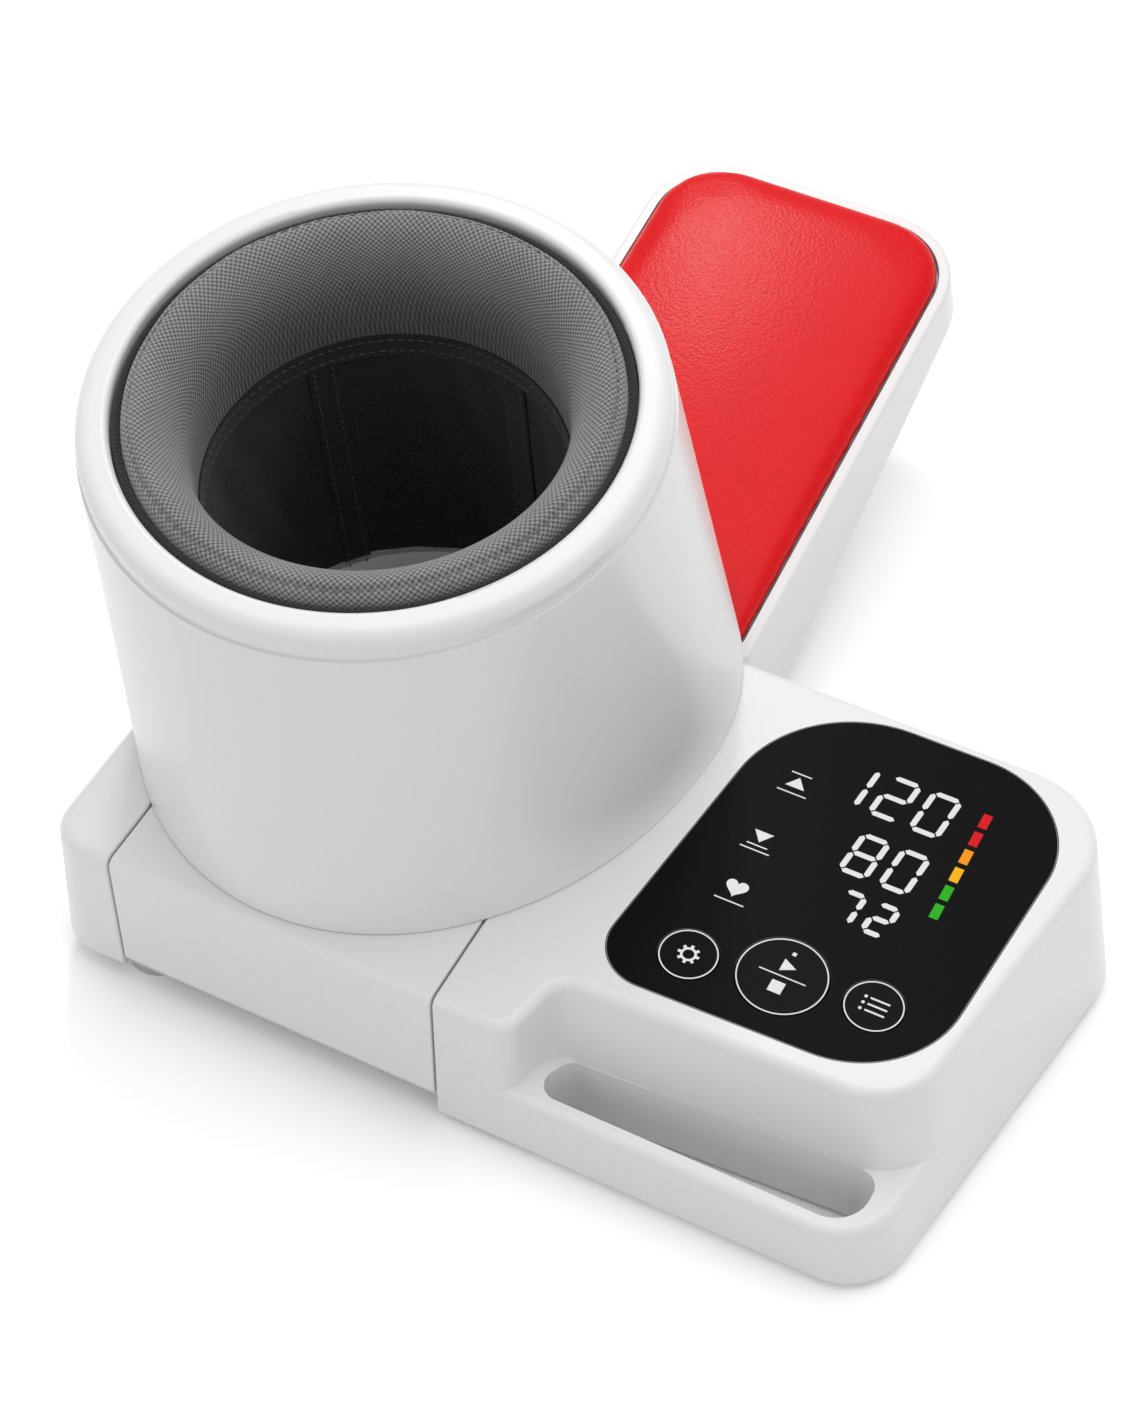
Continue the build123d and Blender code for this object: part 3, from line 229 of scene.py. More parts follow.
def black_lens(name, color, painted_edge_highlight):
    """Printed acrylic, black from behind. Its edge bevel gets a light grey colour: a painted highlight."""
    finish = Finish(name, color, 0.32, Specular_IOR_Level=0.04)
    upright = finish.split(finish.node("ShaderNodeTexCoord", output=1))[2]
    smear = finish.noise(finish.place(), 60.0, 4.0)
    # Painted highlight: where the surface turns down at the lens edge, the colour goes light grey.
    finish.set("Base Color", finish.blend(upright < lens_flat, color, painted_edge_highlight))
    finish.set("Roughness", smear * 0.12 + 0.26)
    return finish.material


white_shell = moulded_plastic(
    "white_shell", (0.80, 0.80, 0.803), 0.34, 0.02, Coat_Weight=0.2, Coat_Roughness=0.15
)
pan_plastic = moulded_plastic("pan_plastic", (0.60, 0.60, 0.59), 0.55)
black_plastic = moulded_plastic("black_plastic", (0.02, 0.02, 0.02), 0.5, 0.3)
key_gloss = moulded_plastic("key_gloss", (0.0055, 0.0055, 0.006), 0.34, 0.2, Specular_IOR_Level=0.05)
lens_gloss = black_lens("lens_gloss", (0.0045, 0.0045, 0.005), (0.30, 0.30, 0.31))
washer_plastic = moulded_plastic("washer_plastic", (0.7, 0.7, 0.68), 0.4)
cable_film = moulded_plastic("cable_film", (0.55, 0.53, 0.47), 0.35)
cell_wrap = moulded_plastic("cell_wrap", (0.02, 0.07, 0.25), 0.25)
foot_rubber = soft_rubber("foot_rubber", (0.36, 0.36, 0.355))
hose_rubber = soft_rubber("hose_rubber", (0.02, 0.02, 0.021))
steel = drawn_metal("steel", (0.55, 0.55, 0.56), 0.35)
pump_metal = drawn_metal("pump_metal", (0.50, 0.51, 0.52), 0.42)
spring_steel = drawn_metal("spring_steel", (0.72, 0.72, 0.73), 0.2)
print("finishes so far:", len(bpy.data.materials))

# %% [markdown]
# The circuit boards are green laminate: a glass weave shows through the solder mask. They are hidden,
# but the model can be opened, so they get the finish too.

# %% Circuit board and lit figures
glass_waves = 3500.0


def board_laminate():
    finish = Finish("board_laminate", (0.01, 0.09, 0.035), 0.35)
    x, y = finish.split(finish.place())[:2]
    weave = (x * glass_waves).sine() * (y * glass_waves).sine()
    finish.set("Base Color", finish.blend(weave * 0.5 + 0.5, (0.008, 0.075, 0.03), (0.02, 0.13, 0.05)))
    finish.emboss(weave, 0.00002)
    return finish.material


def diffuser(name, color):
    """The dull window of a lit segment, which is dark by itself."""
    return Finish(name, toned(color, 0.1), 0.5, Specular_IOR_Level=0.05)


def lit_figure(name, color, glow):
    """A lit segment: it glows, and its diffuser has a fine grain."""
    finish = diffuser(name, color)
    grain = finish.noise(finish.place(), 900.0, 2.0)
    finish.set("Emission Color", finish.blend(grain, color, toned(color, 0.86)))
    finish.set("Emission Strength", glow)
    return finish.material


def lit_pair(name, near_color, far_color, node, glow):
    """Two lit bars that share a node: the near one and the far one differ in colour."""
    finish = diffuser(name, far_color)
    low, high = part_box(node)
    y = finish.split(finish.place())[1]
    finish.set("Emission Color", finish.blend(y > (low[1] + high[1]) / 2, near_color, far_color))
    finish.set("Emission Strength", glow)
    return finish.material


board_green = board_laminate()
# The digits are lit, but the printed marks on the keys and the lens also use this glowing white; on them
# the glow is painted light.
lit_digit_and_painted_print_glow = lit_figure("lit_digit_and_painted_print_glow", (0.88, 0.89, 0.89), 0.85)
bar_green = lit_figure("bar_green", (0.035, 0.47, 0.02), 0.9)
bar_amber = lit_pair("bar_amber", (0.95, 0.48, 0.012), (0.93, 0.32, 0.012), "amber_level_bars", 0.9)
bar_red = lit_figure("bar_red", (0.72, 0.015, 0.02), 0.9)
print("board and figures done")

# %% [markdown]
# The cuff is covered in a plain-woven fabric. Its threads cross about every 1.7 mm, and they follow the
# ring: one set runs round the drum and the other runs over the roll. A picture wrapped on would show a
# seam, so the threads are sines of two angles, one round the drum and one round the roll. The tone is
# darkened with depth below the rim: painted shade, for the throat that the light reaches less.

# %% Woven cloth of the cuff
roll_radius = 63.0
thread_pitch = 1.7
painted_shade_top = 2.0
painted_shade_low = -34.0
painted_shade_share = 0.45
lining_threads_round = 300.0
lining_pitch = 1.05


def woven_cloth(name, thread, gap, roll_centre, roll_size, depth=0.00035):
    """Plain weave round a ring whose roll has its centre at a radius and a height, in millimetres."""
    finish = Finish(name, thread, 0.9, Sheen_Weight=0.35, Sheen_Roughness=0.5, Specular_IOR_Level=0.15)
    here = finish.place(rim_centre, (drum_lean, 0, 0))
    wander = finish.noise(here, 90.0, 2.0)
    x, y, z = finish.split(here)
    reach = (x * x + y * y) ** 0.5
    round_drum = y.angle(x)
    over_roll = (z - roll_centre[1] * mm).angle(reach - roll_centre[0] * mm)
    threads_round = round(full_turn * roll_radius / thread_pitch)
    threads_over = full_turn * roll_size / thread_pitch
    warp = (round_drum * threads_round + wander * 2.2).sine()
    weft = (over_roll * threads_over + wander * 2.2).sine()
    cross = warp * weft * 0.5 + 0.5
    fuzz = finish.noise(here, 2300.0, 3.0)
    patch = finish.noise(here, 30.0, 3.0)
    # Painted shade: the cloth's tone falls to a share of itself from the rim down into the throat.
    rise = finish.node(
        "ShaderNodeMapRange",
        {"interpolation_type": "SMOOTHSTEP"},
        {0: z, 1: painted_shade_low * mm, 2: painted_shade_top * mm, 3: painted_shade_share, 4: 1.0},
    )
    tone = (cross * 0.80 + fuzz * 0.34 + patch * 0.30 - 0.20) * rise
    finish.set("Base Color", finish.blend(tone, gap, thread))
    finish.set("Roughness", fuzz * 0.15 + 0.8)
    finish.emboss(cross * 0.8 + fuzz * 0.25, depth)
    return finish.material


def lining_cloth(name, thread, gap):
    """Finer weave of the tube inside the cuff: one set of threads goes round, the other goes down."""
    finish = Finish(name, thread, 0.92, Sheen_Weight=0.2, Specular_IOR_Level=0.12)
    here = finish.place(rim_centre, (drum_lean, 0, 0))
    wander = finish.noise(here, 120.0, 2.0)
    x, y, z = finish.split(here)
    warp = (y.angle(x) * lining_threads_round + wander * 1.6).sine()
    weft = (z * (full_turn / (lining_pitch * mm)) + wander * 1.6).sine()
    cross = warp * weft * 0.5 + 0.5
    fuzz = finish.noise(here, 2600.0, 3.0)
    finish.set("Base Color", finish.blend(cross * 0.6 + fuzz * 0.4, gap, thread))
    finish.emboss(cross, 0.00025)
    return finish.material


# %% [markdown]
# The arm rest is covered in red leather-like vinyl. Its grain is a net of tiny pebbles with creases
# between them, and larger soft waves where the skin was stretched over the foam.

# %% Red leather and sewing thread
pebble_scale = 820.0


def grained_leather(name, color):
    finish = Finish(name, color, 0.30, Specular_IOR_Level=0.16)
    here = finish.place()
    pebble = finish.node(
        "ShaderNodeTexVoronoi",
        {"feature": "SMOOTH_F1"},
        {"Vector": here, "Scale": pebble_scale, "Smoothness": 0.6},
    )
    pebble_height = 1 - pebble
    wave = finish.noise(here, 45.0, 4.0)
    pore = finish.noise(here, 1500.0, 3.0)
    finish.set("Base Color", finish.blend(pebble_height * 0.5 + wave * 0.5, toned(color, 0.8), color))
    finish.set("Roughness", pore * 0.12 + wave * 0.08 + 0.18)
    finish.emboss(pebble_height * 0.6 + pore * 0.25 + wave * 0.3, 0.00010)
    return finish.material


def sewing_thread(name, color):
    finish = Finish(name, color, 0.7, Sheen_Weight=0.3)
    ply = finish.noise(finish.place(), 3200.0, 2.0)
    finish.set("Base Color", finish.blend(ply, toned(color, 0.5), color))
    finish.emboss(ply, 0.00008)
    return finish.material


red_leather = grained_leather("red_leather", (0.78, 0.003, 0.007))
thread_grey = sewing_thread("thread_grey", (0.17, 0.175, 0.18))
thread_dark = sewing_thread("thread_dark", (0.10, 0.10, 0.105))
print("cloth, leather and thread done")

# %% [markdown]
# New pieces are drawn the way a modeller would by hand. Round ones start as a single point, which is
# extruded along half a cross-section and then spun about the upright axis. The result is leaned with
# the drum and its place is applied, so that the piece's own origin stays at the model's origin.

# %% Helpers that draw and place pieces


def pick_out(piece):
    """Make a piece the only selected one, and the active one."""
    bpy.ops.object.select_all(action="DESELECT")
    piece.select_set(True)
    bpy.context.view_layer.objects.active = piece


def start_edit(piece):
    pick_out(piece)
    bpy.ops.object.mode_set(mode="EDIT")
    bpy.ops.mesh.select_mode(type="VERT")
    bpy.ops.mesh.select_all(action="SELECT")


def end_edit():
    bpy.ops.object.mode_set(mode="OBJECT")


def apply_place(piece, matrix=None):
    """Move a piece by a matrix and keep the move in its mesh."""
    if matrix is not None:
        piece.matrix_world = matrix @ piece.matrix_world
    pick_out(piece)
    bpy.ops.object.transform_apply(location=True, rotation=True, scale=True)


def round_edges(piece, width, segments=1):
    """Round a piece's edges by a width in millimetres."""
    edges = piece.modifiers.new("edges", "BEVEL")
    edges.width = width * mm
    edges.segments = segments
    bpy.ops.object.modifier_apply(modifier=edges.name)


def dress(piece, name, material, body, smooth=30.0):
    """Give a finished piece its name, its finish and the body that carries it."""
    piece.name = name
    piece.data.materials.clear()
    piece.data.materials.append(material)
    pick_out(piece)
    bpy.ops.object.shade_smooth_by_angle(angle=math.radians(smooth))
    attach(piece, body)
    return piece


def spun(profile, steps):
    """Draw a cross-section of (radius, height) points in millimetres and spin it about Z."""
    bpy.ops.object.select_all(action="DESELECT")
    bpy.ops.mesh.primitive_plane_add(size=mm)
    piece = bpy.context.object
    start_edit(piece)
    bpy.ops.mesh.merge(type="CENTER")
    bpy.ops.transform.translate(value=(profile[0][0] * mm, 0, profile[0][1] * mm))
    for (radius, height), (next_radius, next_height) in zip(profile, profile[1:]):
        step = ((next_radius - radius) * mm, 0, (next_height - height) * mm)
        bpy.ops.mesh.extrude_region_move(TRANSFORM_OT_translate={"value": step})
    bpy.ops.mesh.select_all(action="SELECT")
    bpy.ops.mesh.spin(steps=steps, angle=full_turn, center=(0, 0, 0), axis=(0, 0, 1))
    bpy.ops.mesh.select_all(action="SELECT")
    bpy.ops.mesh.remove_doubles(threshold=0.01 * mm)
    bpy.ops.mesh.normals_make_consistent(inside=False)
    end_edit()
    return piece


def stitch(length, width, at):
    """One sewn stitch: a slim bead that lies along Y, at a place in millimetres."""
    bpy.ops.object.select_all(action="DESELECT")
    bpy.ops.mesh.primitive_uv_sphere_add(segments=8, ring_count=6, radius=1.0, location=Vector(at) * mm)
    piece = bpy.context.object
    piece.scale = (width / 2 * mm, length / 2 * mm, width / 2 * mm)
    apply_place(piece)
    return piece


def stitch_round(radius, height, pitch, length=2.4, width=0.5):
    """A row of stitches round the drum's axis, copied from one stitch by a spin."""
    piece = stitch(length, width, (radius, 0, height))
    count = round(full_turn * radius / pitch)
    reach = full_turn * (count - 1) / count
    start_edit(piece)
    bpy.ops.mesh.spin(steps=count - 1, dupli=True, angle=reach, center=(0, 0, 0), axis=(0, 0, 1))
    end_edit()
    return piece


def joined(pieces):
    bpy.ops.object.select_all(action="DESELECT")
    for piece in pieces:
        piece.select_set(True)
    bpy.context.view_layer.objects.active = pieces[0]
    bpy.ops.object.join()
    return pieces[0]


# %% [markdown]
# The bolster is a stuffed roll round the mouth of the cuff. Its section is two quarter ellipses: a short
# one from the shoulder beside the rim up to the crown, and a long one that runs down into the throat. A
# sewn channel runs round it just inside the piping, and the cloth puckers a little between its stitches.

# %% Padded bolster
shoulder = Vector((74.5, -5.0))
crown = Vector((70.0, 2.0))
throat = Vector((57.0, -20.0))
neck_radius = 64.5
bolster_depth = -38.0
bolster_foot = -13.0
channel_radius = 71.7
channel_depth = 0.9
channel_width = 1.0
pucker_reach = 3.2
outer_steps = 20
inner_steps = 48
neck_steps = 8
bolster_steps = 246
stitch_pitch = 3.6
stitch_rise = 0.12
weave_centre = Vector((67.0, -9.0))
weave_size = 10.0


def quarter(centre, reach, start, count):
    """Points of a quarter ellipse, each with the direction that points away from the roll."""
    points = []
    for step in range(count + 1):
        angle = start + math.pi / 2 * step / count
        ray = Vector((math.cos(angle), math.sin(angle)))
        away = Vector((ray.x / reach.x, ray.y / reach.y)).normalized()
        points.append((centre.x + ray.x * reach.x, centre.y + ray.y * reach.y, away))
    return points


def roll_profile():
    outer_reach = Vector((shoulder.x - crown.x, crown.y - shoulder.y))
    inner_reach = Vector((crown.x - throat.x, crown.y - throat.y))
    outer = quarter(Vector((crown.x, shoulder.y)), outer_reach, 0, outer_steps)
    inner = quarter(Vector((crown.x, throat.y)), inner_reach, math.pi / 2, inner_steps)
    return outer + inner[1:]


def bolster_profile():
    outline = [(shoulder.x, bolster_foot), (shoulder.x, (bolster_foot + shoulder.y) / 2)]
    for radius, height, away in roll_profile():
        sunk = 0.0
        if height > shoulder.y:
            sunk = channel_depth * math.exp(-(((radius - channel_radius) / channel_width) ** 2))
        outline.append((radius - away.x * sunk, height - away.y * sunk))
    for step in range(1, neck_steps + 1):
        outline.append((throat.x, throat.y + (bolster_depth - throat.y) * step / neck_steps))
    outline.append((neck_radius, bolster_depth))
    outline.append((neck_radius, bolster_foot))
    outline.append((shoulder.x, bolster_foot))
    return outline


bolster = spun(bolster_profile(), bolster_steps)
stitches_round = round(full_turn * channel_radius / stitch_pitch)
puckers = ((0.16, stitches_round, 0.0), (0.25, 7, 1.0), (0.15, 17, 0.0))
for vertex in bolster.data.vertices:
    radius = math.hypot(vertex.co.x, vertex.co.y) / mm
    near = math.exp(-(((radius - channel_radius) / pucker_reach) ** 2))
    angle = math.atan2(vertex.co.y, vertex.co.x)
    swell = sum(rise * math.sin(angle * waves + start) for rise, waves, start in puckers)
    if vertex.co.z > throat.y * mm:
        vertex.co.z += near * swell * mm
apply_place(bolster, drum_frame)
bolster_cloth = woven_cloth(
    "bolster_cloth", (0.36, 0.362, 0.37), (0.020, 0.020, 0.022), weave_centre, weave_size
)
dress(bolster, "bolster_padded", bolster_cloth, "drum", 60)
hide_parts("cuff_bolster")
print("bolster faces:", len(bolster.data.polygons))

# %% [markdown]
# The stitches of the channel are real thread, half sunk in the cloth. One stitch is modelled, and a
# spin copies it round the ring.

# %% Stitches of the bolster


def roll_height(radius):
    """Height of the roll's outer side at a radius between its crown and its shoulder."""
    share = (radius - crown.x) / (shoulder.x - crown.x)
    return shoulder.y + (crown.y - shoulder.y) * math.sqrt(1 - share**2)


stitch_level = roll_height(channel_radius) - channel_depth + stitch_rise
channel_stitches = stitch_round(channel_radius, stitch_level, stitch_pitch)
apply_place(channel_stitches, drum_frame)
dress(channel_stitches, "bolster_stitches", thread_grey, "drum", 60)
print("stitches:", stitches_round)

# %% [markdown]
# Below the bolster the lining is a tube of thinner cloth over the air chamber. It is sewn from panels:
# a band with two rows of stitches joins it to the bolster, and flat strips with a row along each edge
# cover the upright seams. The tube is cut level with the drum's floor, so it is drawn too long first.

# %% Lining with its band and strips
lining_radius = 57.0
lining_wall = 2.6
lining_bottom = -165.0
lining_gap = 0.1
lining_rows = 24
lining_steps = 200
band_depth = 9.0
band_rise = 0.55
strip_rise = 0.7
strip_width = 9.5
strip_thickness = 1.1
seam_pitch = 3.2
seam_stitch = (2.2, 0.45)
strip_angles = [math.radians(angle) for angle in (76.0, 141.0, 205.0, 268.0, 330.0)]
floor_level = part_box("cuff_lining")[0][2]


def trim_below(piece, level):
    """Cut a piece off at a level and close it."""
    start_edit(piece)
    bpy.ops.mesh.bisect(plane_co=(0, 0, level), plane_no=(0, 0, 1), clear_inner=True, use_fill=True)
    end_edit()


def lining_profile():
    top = bolster_depth - lining_gap
    band_end = top - band_depth
    tube_top = band_end - 0.3
    outer = lining_radius + lining_wall
    inner = lining_radius - band_rise
    outline = [(outer, lining_bottom), (outer, top), (inner, top)]
    outline += [(inner - 0.2, top - 1.0), (inner - 0.2, band_end + 1.0), (inner, band_end)]
    outline.append((lining_radius, tube_top))
    for step in range(1, lining_rows + 1):
        outline.append((lining_radius, tube_top + (lining_bottom - tube_top) * step / lining_rows))
    outline.append(outline[0])
    return outline


lining = spun(lining_profile(), lining_steps)
for vertex in lining.data.vertices:
    angle = math.atan2(vertex.co.y, vertex.co.x)
    radius = math.hypot(vertex.co.x, vertex.co.y)
    depth = vertex.co.z / mm
    if radius < (lining_radius + 0.1) * mm and depth < bolster_depth - band_depth - 2:
        wrinkle = 0.35 * math.sin(angle * 9 + depth * 0.05) + 0.2 * math.sin(angle * 23 - depth * 0.11)
        vertex.co.x *= 1 + wrinkle * mm / radius
        vertex.co.y *= 1 + wrinkle * mm / radius
apply_place(lining, drum_frame)
trim_below(lining, floor_level)
lining_dark = lining_cloth("lining_dark", (0.030, 0.030, 0.032), (0.006, 0.006, 0.007))
dress(lining, "lining_sewn", lining_dark, "drum", 50)
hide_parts("cuff_lining")

band_rows = []
for below in (2.2, band_depth - 2.0):
    seam_radius = lining_radius - band_rise - 0.25
    band_rows.append(stitch_round(seam_radius, bolster_depth - below, seam_pitch, *seam_stitch))
band_stitches = joined(band_rows)
apply_place(band_stitches, drum_frame)
dress(band_stitches, "band_stitches", thread_dark, "drum", 60)
print("lining faces:", len(lining.data.polygons))

# %% [markdown]
# A strip starts as a cube, is flattened and bent round the tube by moving its points on the circle, and
# gets its edges rounded by a bevel. One strip with its two rows of stitches is turned to each seam.

# %% Strips over the upright seams
strip_top = bolster_depth - band_depth + 1.5
strip_cuts = 6
strip_edge = 0.3
row_stitches = 34
row_inset = 1.6


def upright_strip(angle):
    bpy.ops.object.select_all(action="DESELECT")
    bpy.ops.mesh.primitive_cube_add(size=1.0)
    piece = bpy.context.object
    middle = (strip_top + lining_bottom) / 2
    piece.scale = (strip_thickness * mm, strip_width * mm, (strip_top - lining_bottom) * mm)
    piece.location = ((lining_radius - strip_rise + strip_thickness / 2) * mm, 0, middle * mm)
    apply_place(piece)
    start_edit(piece)
    bpy.ops.mesh.subdivide(number_cuts=strip_cuts)
    end_edit()
    for vertex in piece.data.vertices:
        radius = vertex.co.x
        turn = vertex.co.y / radius
        vertex.co.x = radius * math.cos(turn)
        vertex.co.y = radius * math.sin(turn)
    round_edges(piece, strip_edge, 2)
    apply_place(piece, Matrix.Rotation(angle, 4, "Z"))
    return piece


def upright_stitches(angle, side):
    """A row of stitches down one edge of a strip."""
    row = stitch(*seam_stitch, (0, 0, 0))
    apply_place(row, Matrix.Rotation(math.pi / 2, 4, "X"))
    line = row.modifiers.new("line", "ARRAY")
    line.count = row_stitches
    line.use_relative_offset = False
    line.use_constant_offset = True
    line.constant_offset_displace = (0, 0, -seam_pitch * mm)
    bpy.ops.object.modifier_apply(modifier=line.name)
    turn = side * (strip_width / 2 - row_inset) / lining_radius
    start = Matrix.Translation(((lining_radius - strip_rise - 0.1) * mm, 0, (strip_top - 3.0) * mm))
    apply_place(row, Matrix.Rotation(angle + turn, 4, "Z") @ start)
    return row


strips = joined([upright_strip(angle) for angle in strip_angles])
apply_place(strips, drum_frame)
trim_below(strips, floor_level)
dress(strips, "seam_strips", lining_dark, "drum", 40)
strip_rows = joined([upright_stitches(angle, side) for angle in strip_angles for side in (-1, 1)])
apply_place(strip_rows, drum_frame)
dress(strip_rows, "strip_stitches", thread_dark, "drum", 60)
print("strips:", len(strip_angles))

# %% [markdown]
# The arm rest's pad is foam under leather. The engineering solid has its outline, so a copy of that
# solid is the start: it is rebuilt from even faces, blown up a little by a cloth simulation, as foam
# presses from inside, and smoothed.

# %% Red pad of the arm rest


def copy_of(node):
    """A copy of a node's mesh, with its loose triangles joined."""
    piece = nodes[node].copy()
    piece.data = nodes[node].data.copy()
    piece.parent = None
    piece.matrix_world = Matrix.Identity(4)
    bpy.context.scene.collection.objects.link(piece)
    piece.data.materials.clear()
    start_edit(piece)
    bpy.ops.mesh.remove_doubles(threshold=0.001 * mm)
    end_edit()
    return piece


def rebuild(piece, voxel):
    """Rebuild a closed mesh from even faces."""
    even = piece.modifiers.new("even", "REMESH")
    even.mode = "VOXEL"
    even.voxel_size = voxel
    bpy.ops.object.modifier_apply(modifier=even.name)


def blow_up(piece, pressure, frames, cap):
    """Swell the pad by air pressure: its underside stays flat, and no point moves further than a cap."""
    start = [vertex.co.copy() for vertex in piece.data.vertices]
    cloth = piece.modifiers.new("cloth", "CLOTH")
    cloth.settings.use_pressure = True
    cloth.settings.uniform_pressure_force = pressure
    cloth.settings.effector_weights.gravity = 0.0
    cloth.settings.tension_stiffness = 40.0
    cloth.settings.compression_stiffness = 40.0
    cloth.point_cache.frame_start = 1
    cloth.point_cache.frame_end = frames
    for step in range(1, frames + 1):
        bpy.context.scene.frame_set(step)
    bpy.ops.object.modifier_apply(modifier=cloth.name)
    bpy.context.scene.frame_set(1)
    for vertex, origin in zip(piece.data.vertices, start):
        move = vertex.co - origin
        if (origin - rest_corner).dot(rest_up) < pad_seat:
            vertex.co = origin
        elif move.length > cap:
            vertex.co = origin + move.normalized() * cap


rest_up = Vector((0, -math.sin(rest_slope), math.cos(rest_slope)))
pad_seat = 1.5 * mm
pad_swell = 3.0 * mm
pad_faces = 2.2 * mm
pad = copy_of("rest_pad")
pad_low, pad_high = [Vector(corner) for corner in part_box("rest_pad")]
pad_middle = (pad_low + pad_high) / 2
pad_half = (pad_high - pad_low) / 2
rebuild(pad, pad_faces)
blow_up(pad, pressure=2.5, frames=12, cap=1.0 * mm)
for vertex in pad.data.vertices:
    across = (vertex.co.x - pad_middle.x) / pad_half.x
    along = (vertex.co.y - pad_middle.y) / pad_half.y
    share = max(1 - across**2, 0) * max(1 - along**2, 0)
    if (vertex.co - rest_corner).dot(rest_up) > pad_seat:
        vertex.co += rest_up * pad_swell * share
even_out = pad.modifiers.new("even_out", "SMOOTH")
even_out.factor = 0.5
even_out.iterations = 6
bpy.ops.object.modifier_apply(modifier=even_out.name)
apply_place(pad)
dress(pad, "rest_pad_leather", red_leather, "arm_rest", 60)
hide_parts("rest_pad")
print("pad faces:", len(pad.data.polygons))

# %% [markdown]
# The panel's marks are printed on the lens and on the keys: a fine ring on each key, and plain signs.
# Each mark is a thin flat mesh that stands 0.08 mm proud, like a screen print. Marks on a key ride with
# that key, so that they sink when it is pressed. They share the glowing white of the lit digits, so on
# the marks that glow is painted light.

# %% Printed rings and signs
print_height = 0.08
print_sink = 0.02
print_depth = print_height + print_sink
print_edge = 0.02
ring_width = 0.42
ring_steps = 96
seam_side = -7.0
front_face = -188.5


def centre_of(node):
    low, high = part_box(node)
    return Vector(((low[0] + high[0]) / 2, (low[1] + high[1]) / 2, high[2])) / mm


def panel_place(across, depth):
    """A place on the lens in millimetres, from the seam beside the console and the front face."""
    return Vector((across + seam_side, depth + front_face, lens_top / mm))


def stamp(piece, centre, turn=Matrix.Identity(4)):
    """Turn a print about its own middle and set it on a surface at a place in millimetres."""
    middle = centre + Vector((0, 0, print_height / 2))
    apply_place(piece, Matrix.Translation(middle * mm) @ turn)
    return piece


def printed_ring(centre, radius, width=ring_width):
    inner = radius - width / 2
    outer = radius + width / 2
    section = [(inner, -print_sink), (inner, print_height), (outer, print_height), (outer, -print_sink)]
    piece = spun(section + section[:1], ring_steps)
    apply_place(piece, Matrix.Translation(centre * mm))
    return piece


def printed_bar(centre, length, width, angle=0.0):
    bpy.ops.object.select_all(action="DESELECT")
    bpy.ops.mesh.primitive_cube_add(size=1.0)
    piece = bpy.context.object
    piece.scale = (length * mm, width * mm, print_depth * mm)
    apply_place(piece)
    round_edges(piece, print_edge)
    return stamp(piece, centre, Matrix.Rotation(angle, 4, "Z"))


def printed_shape(centre, radius, corners, angle=0.0, stretch=(1.0, 1.0)):
    """A filled sign with a number of corners: a triangle, a square or, with many, a dot."""
    bpy.ops.object.select_all(action="DESELECT")
    bpy.ops.mesh.primitive_cylinder_add(vertices=corners, radius=radius * mm, depth=print_depth * mm)
    piece = bpy.context.object
    apply_place(piece)
    round_edges(piece, print_edge)
    return stamp(piece, centre, Matrix.Diagonal((*stretch, 1, 1)) @ Matrix.Rotation(angle, 4, "Z"))


def printed_heart(centre, size):
    """A heart, drawn from the disc of a cylinder by moving its points on the heart's curve."""
    bpy.ops.object.select_all(action="DESELECT")
    bpy.ops.mesh.primitive_cylinder_add(vertices=48, radius=1.0, depth=print_depth * mm)
    piece = bpy.context.object
    for vertex in piece.data.vertices:
        turn = math.atan2(vertex.co.x, vertex.co.y)
        wide = 16 * math.sin(turn) ** 3
        tall = 13 * math.cos(turn) - 5 * math.cos(2 * turn) - 2 * math.cos(3 * turn) - math.cos(4 * turn)
        vertex.co.x = wide / 32 * size * mm
        vertex.co.y = tall / 32 * size * mm
    return stamp(piece, centre)


def shifted(centre, across, along):
    return centre + Vector((across, along, 0))


set_centre = centre_of("set_key")
start_centre = centre_of("start_stop_key")
memory_centre = centre_of("memory_key")
ring_inset = 0.55
cap_flange = 0.9


def key_ring(node, centre):
    low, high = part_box(node)
    cap_radius = (high[0] - low[0]) / 2 / mm - cap_flange
    return printed_ring(centre, cap_radius - ring_inset)


teeth = 8
tooth_circle = 3.0
row_pitch = 2.4
set_marks = [key_ring("set_key", set_centre), printed_ring(set_centre, 2.2, 0.75)]
for tooth in range(teeth):
    angle = full_turn * tooth / teeth
    place = shifted(set_centre, tooth_circle * math.cos(angle), tooth_circle * math.sin(angle))
    set_marks.append(printed_bar(place, 1.1, 0.95, angle))

start_marks = [
    key_ring("start_stop_key", start_centre),
    printed_shape(shifted(start_centre, 0, 9.2), 0.95, 4, math.pi / 4, (0.8, 1.1)),
    printed_bar(start_centre, 15.5, 0.42),
    printed_shape(shifted(start_centre, -0.3, 4.1), 3.1, 3, -math.pi / 2, (1.0, 0.9)),
    printed_shape(shifted(start_centre, 0, -4.4), 3.2, 4, math.pi / 4, (1.0, 0.95)),
]

memory_marks = [key_ring("memory_key", memory_centre)]
for row in (-row_pitch, 0.0, row_pitch):
    memory_marks.append(printed_bar(shifted(memory_centre, 1.1, row), 6.4, 0.62))
    memory_marks.append(printed_shape(shifted(memory_centre, -3.6, row), 0.55, 16))

# The key marks glow like the lit digits: painted light on print.
for name, marks, body in (
    ("set_print", set_marks, "set_key"),
    ("start_print", start_marks, "start_stop_key"),
    ("memory_print", memory_marks, "memory_key"),
):
    dress(joined(marks), name, lit_digit_and_painted_print_glow, body, 20)
print("key marks:", len(set_marks) + len(start_marks) + len(memory_marks))

# %% [markdown]
# Beside the three readings the photograph's words give way to plain signs: an arrow head that points up
# for the upper pressure, one that points down for the lower pressure, and a heart for the pulse.

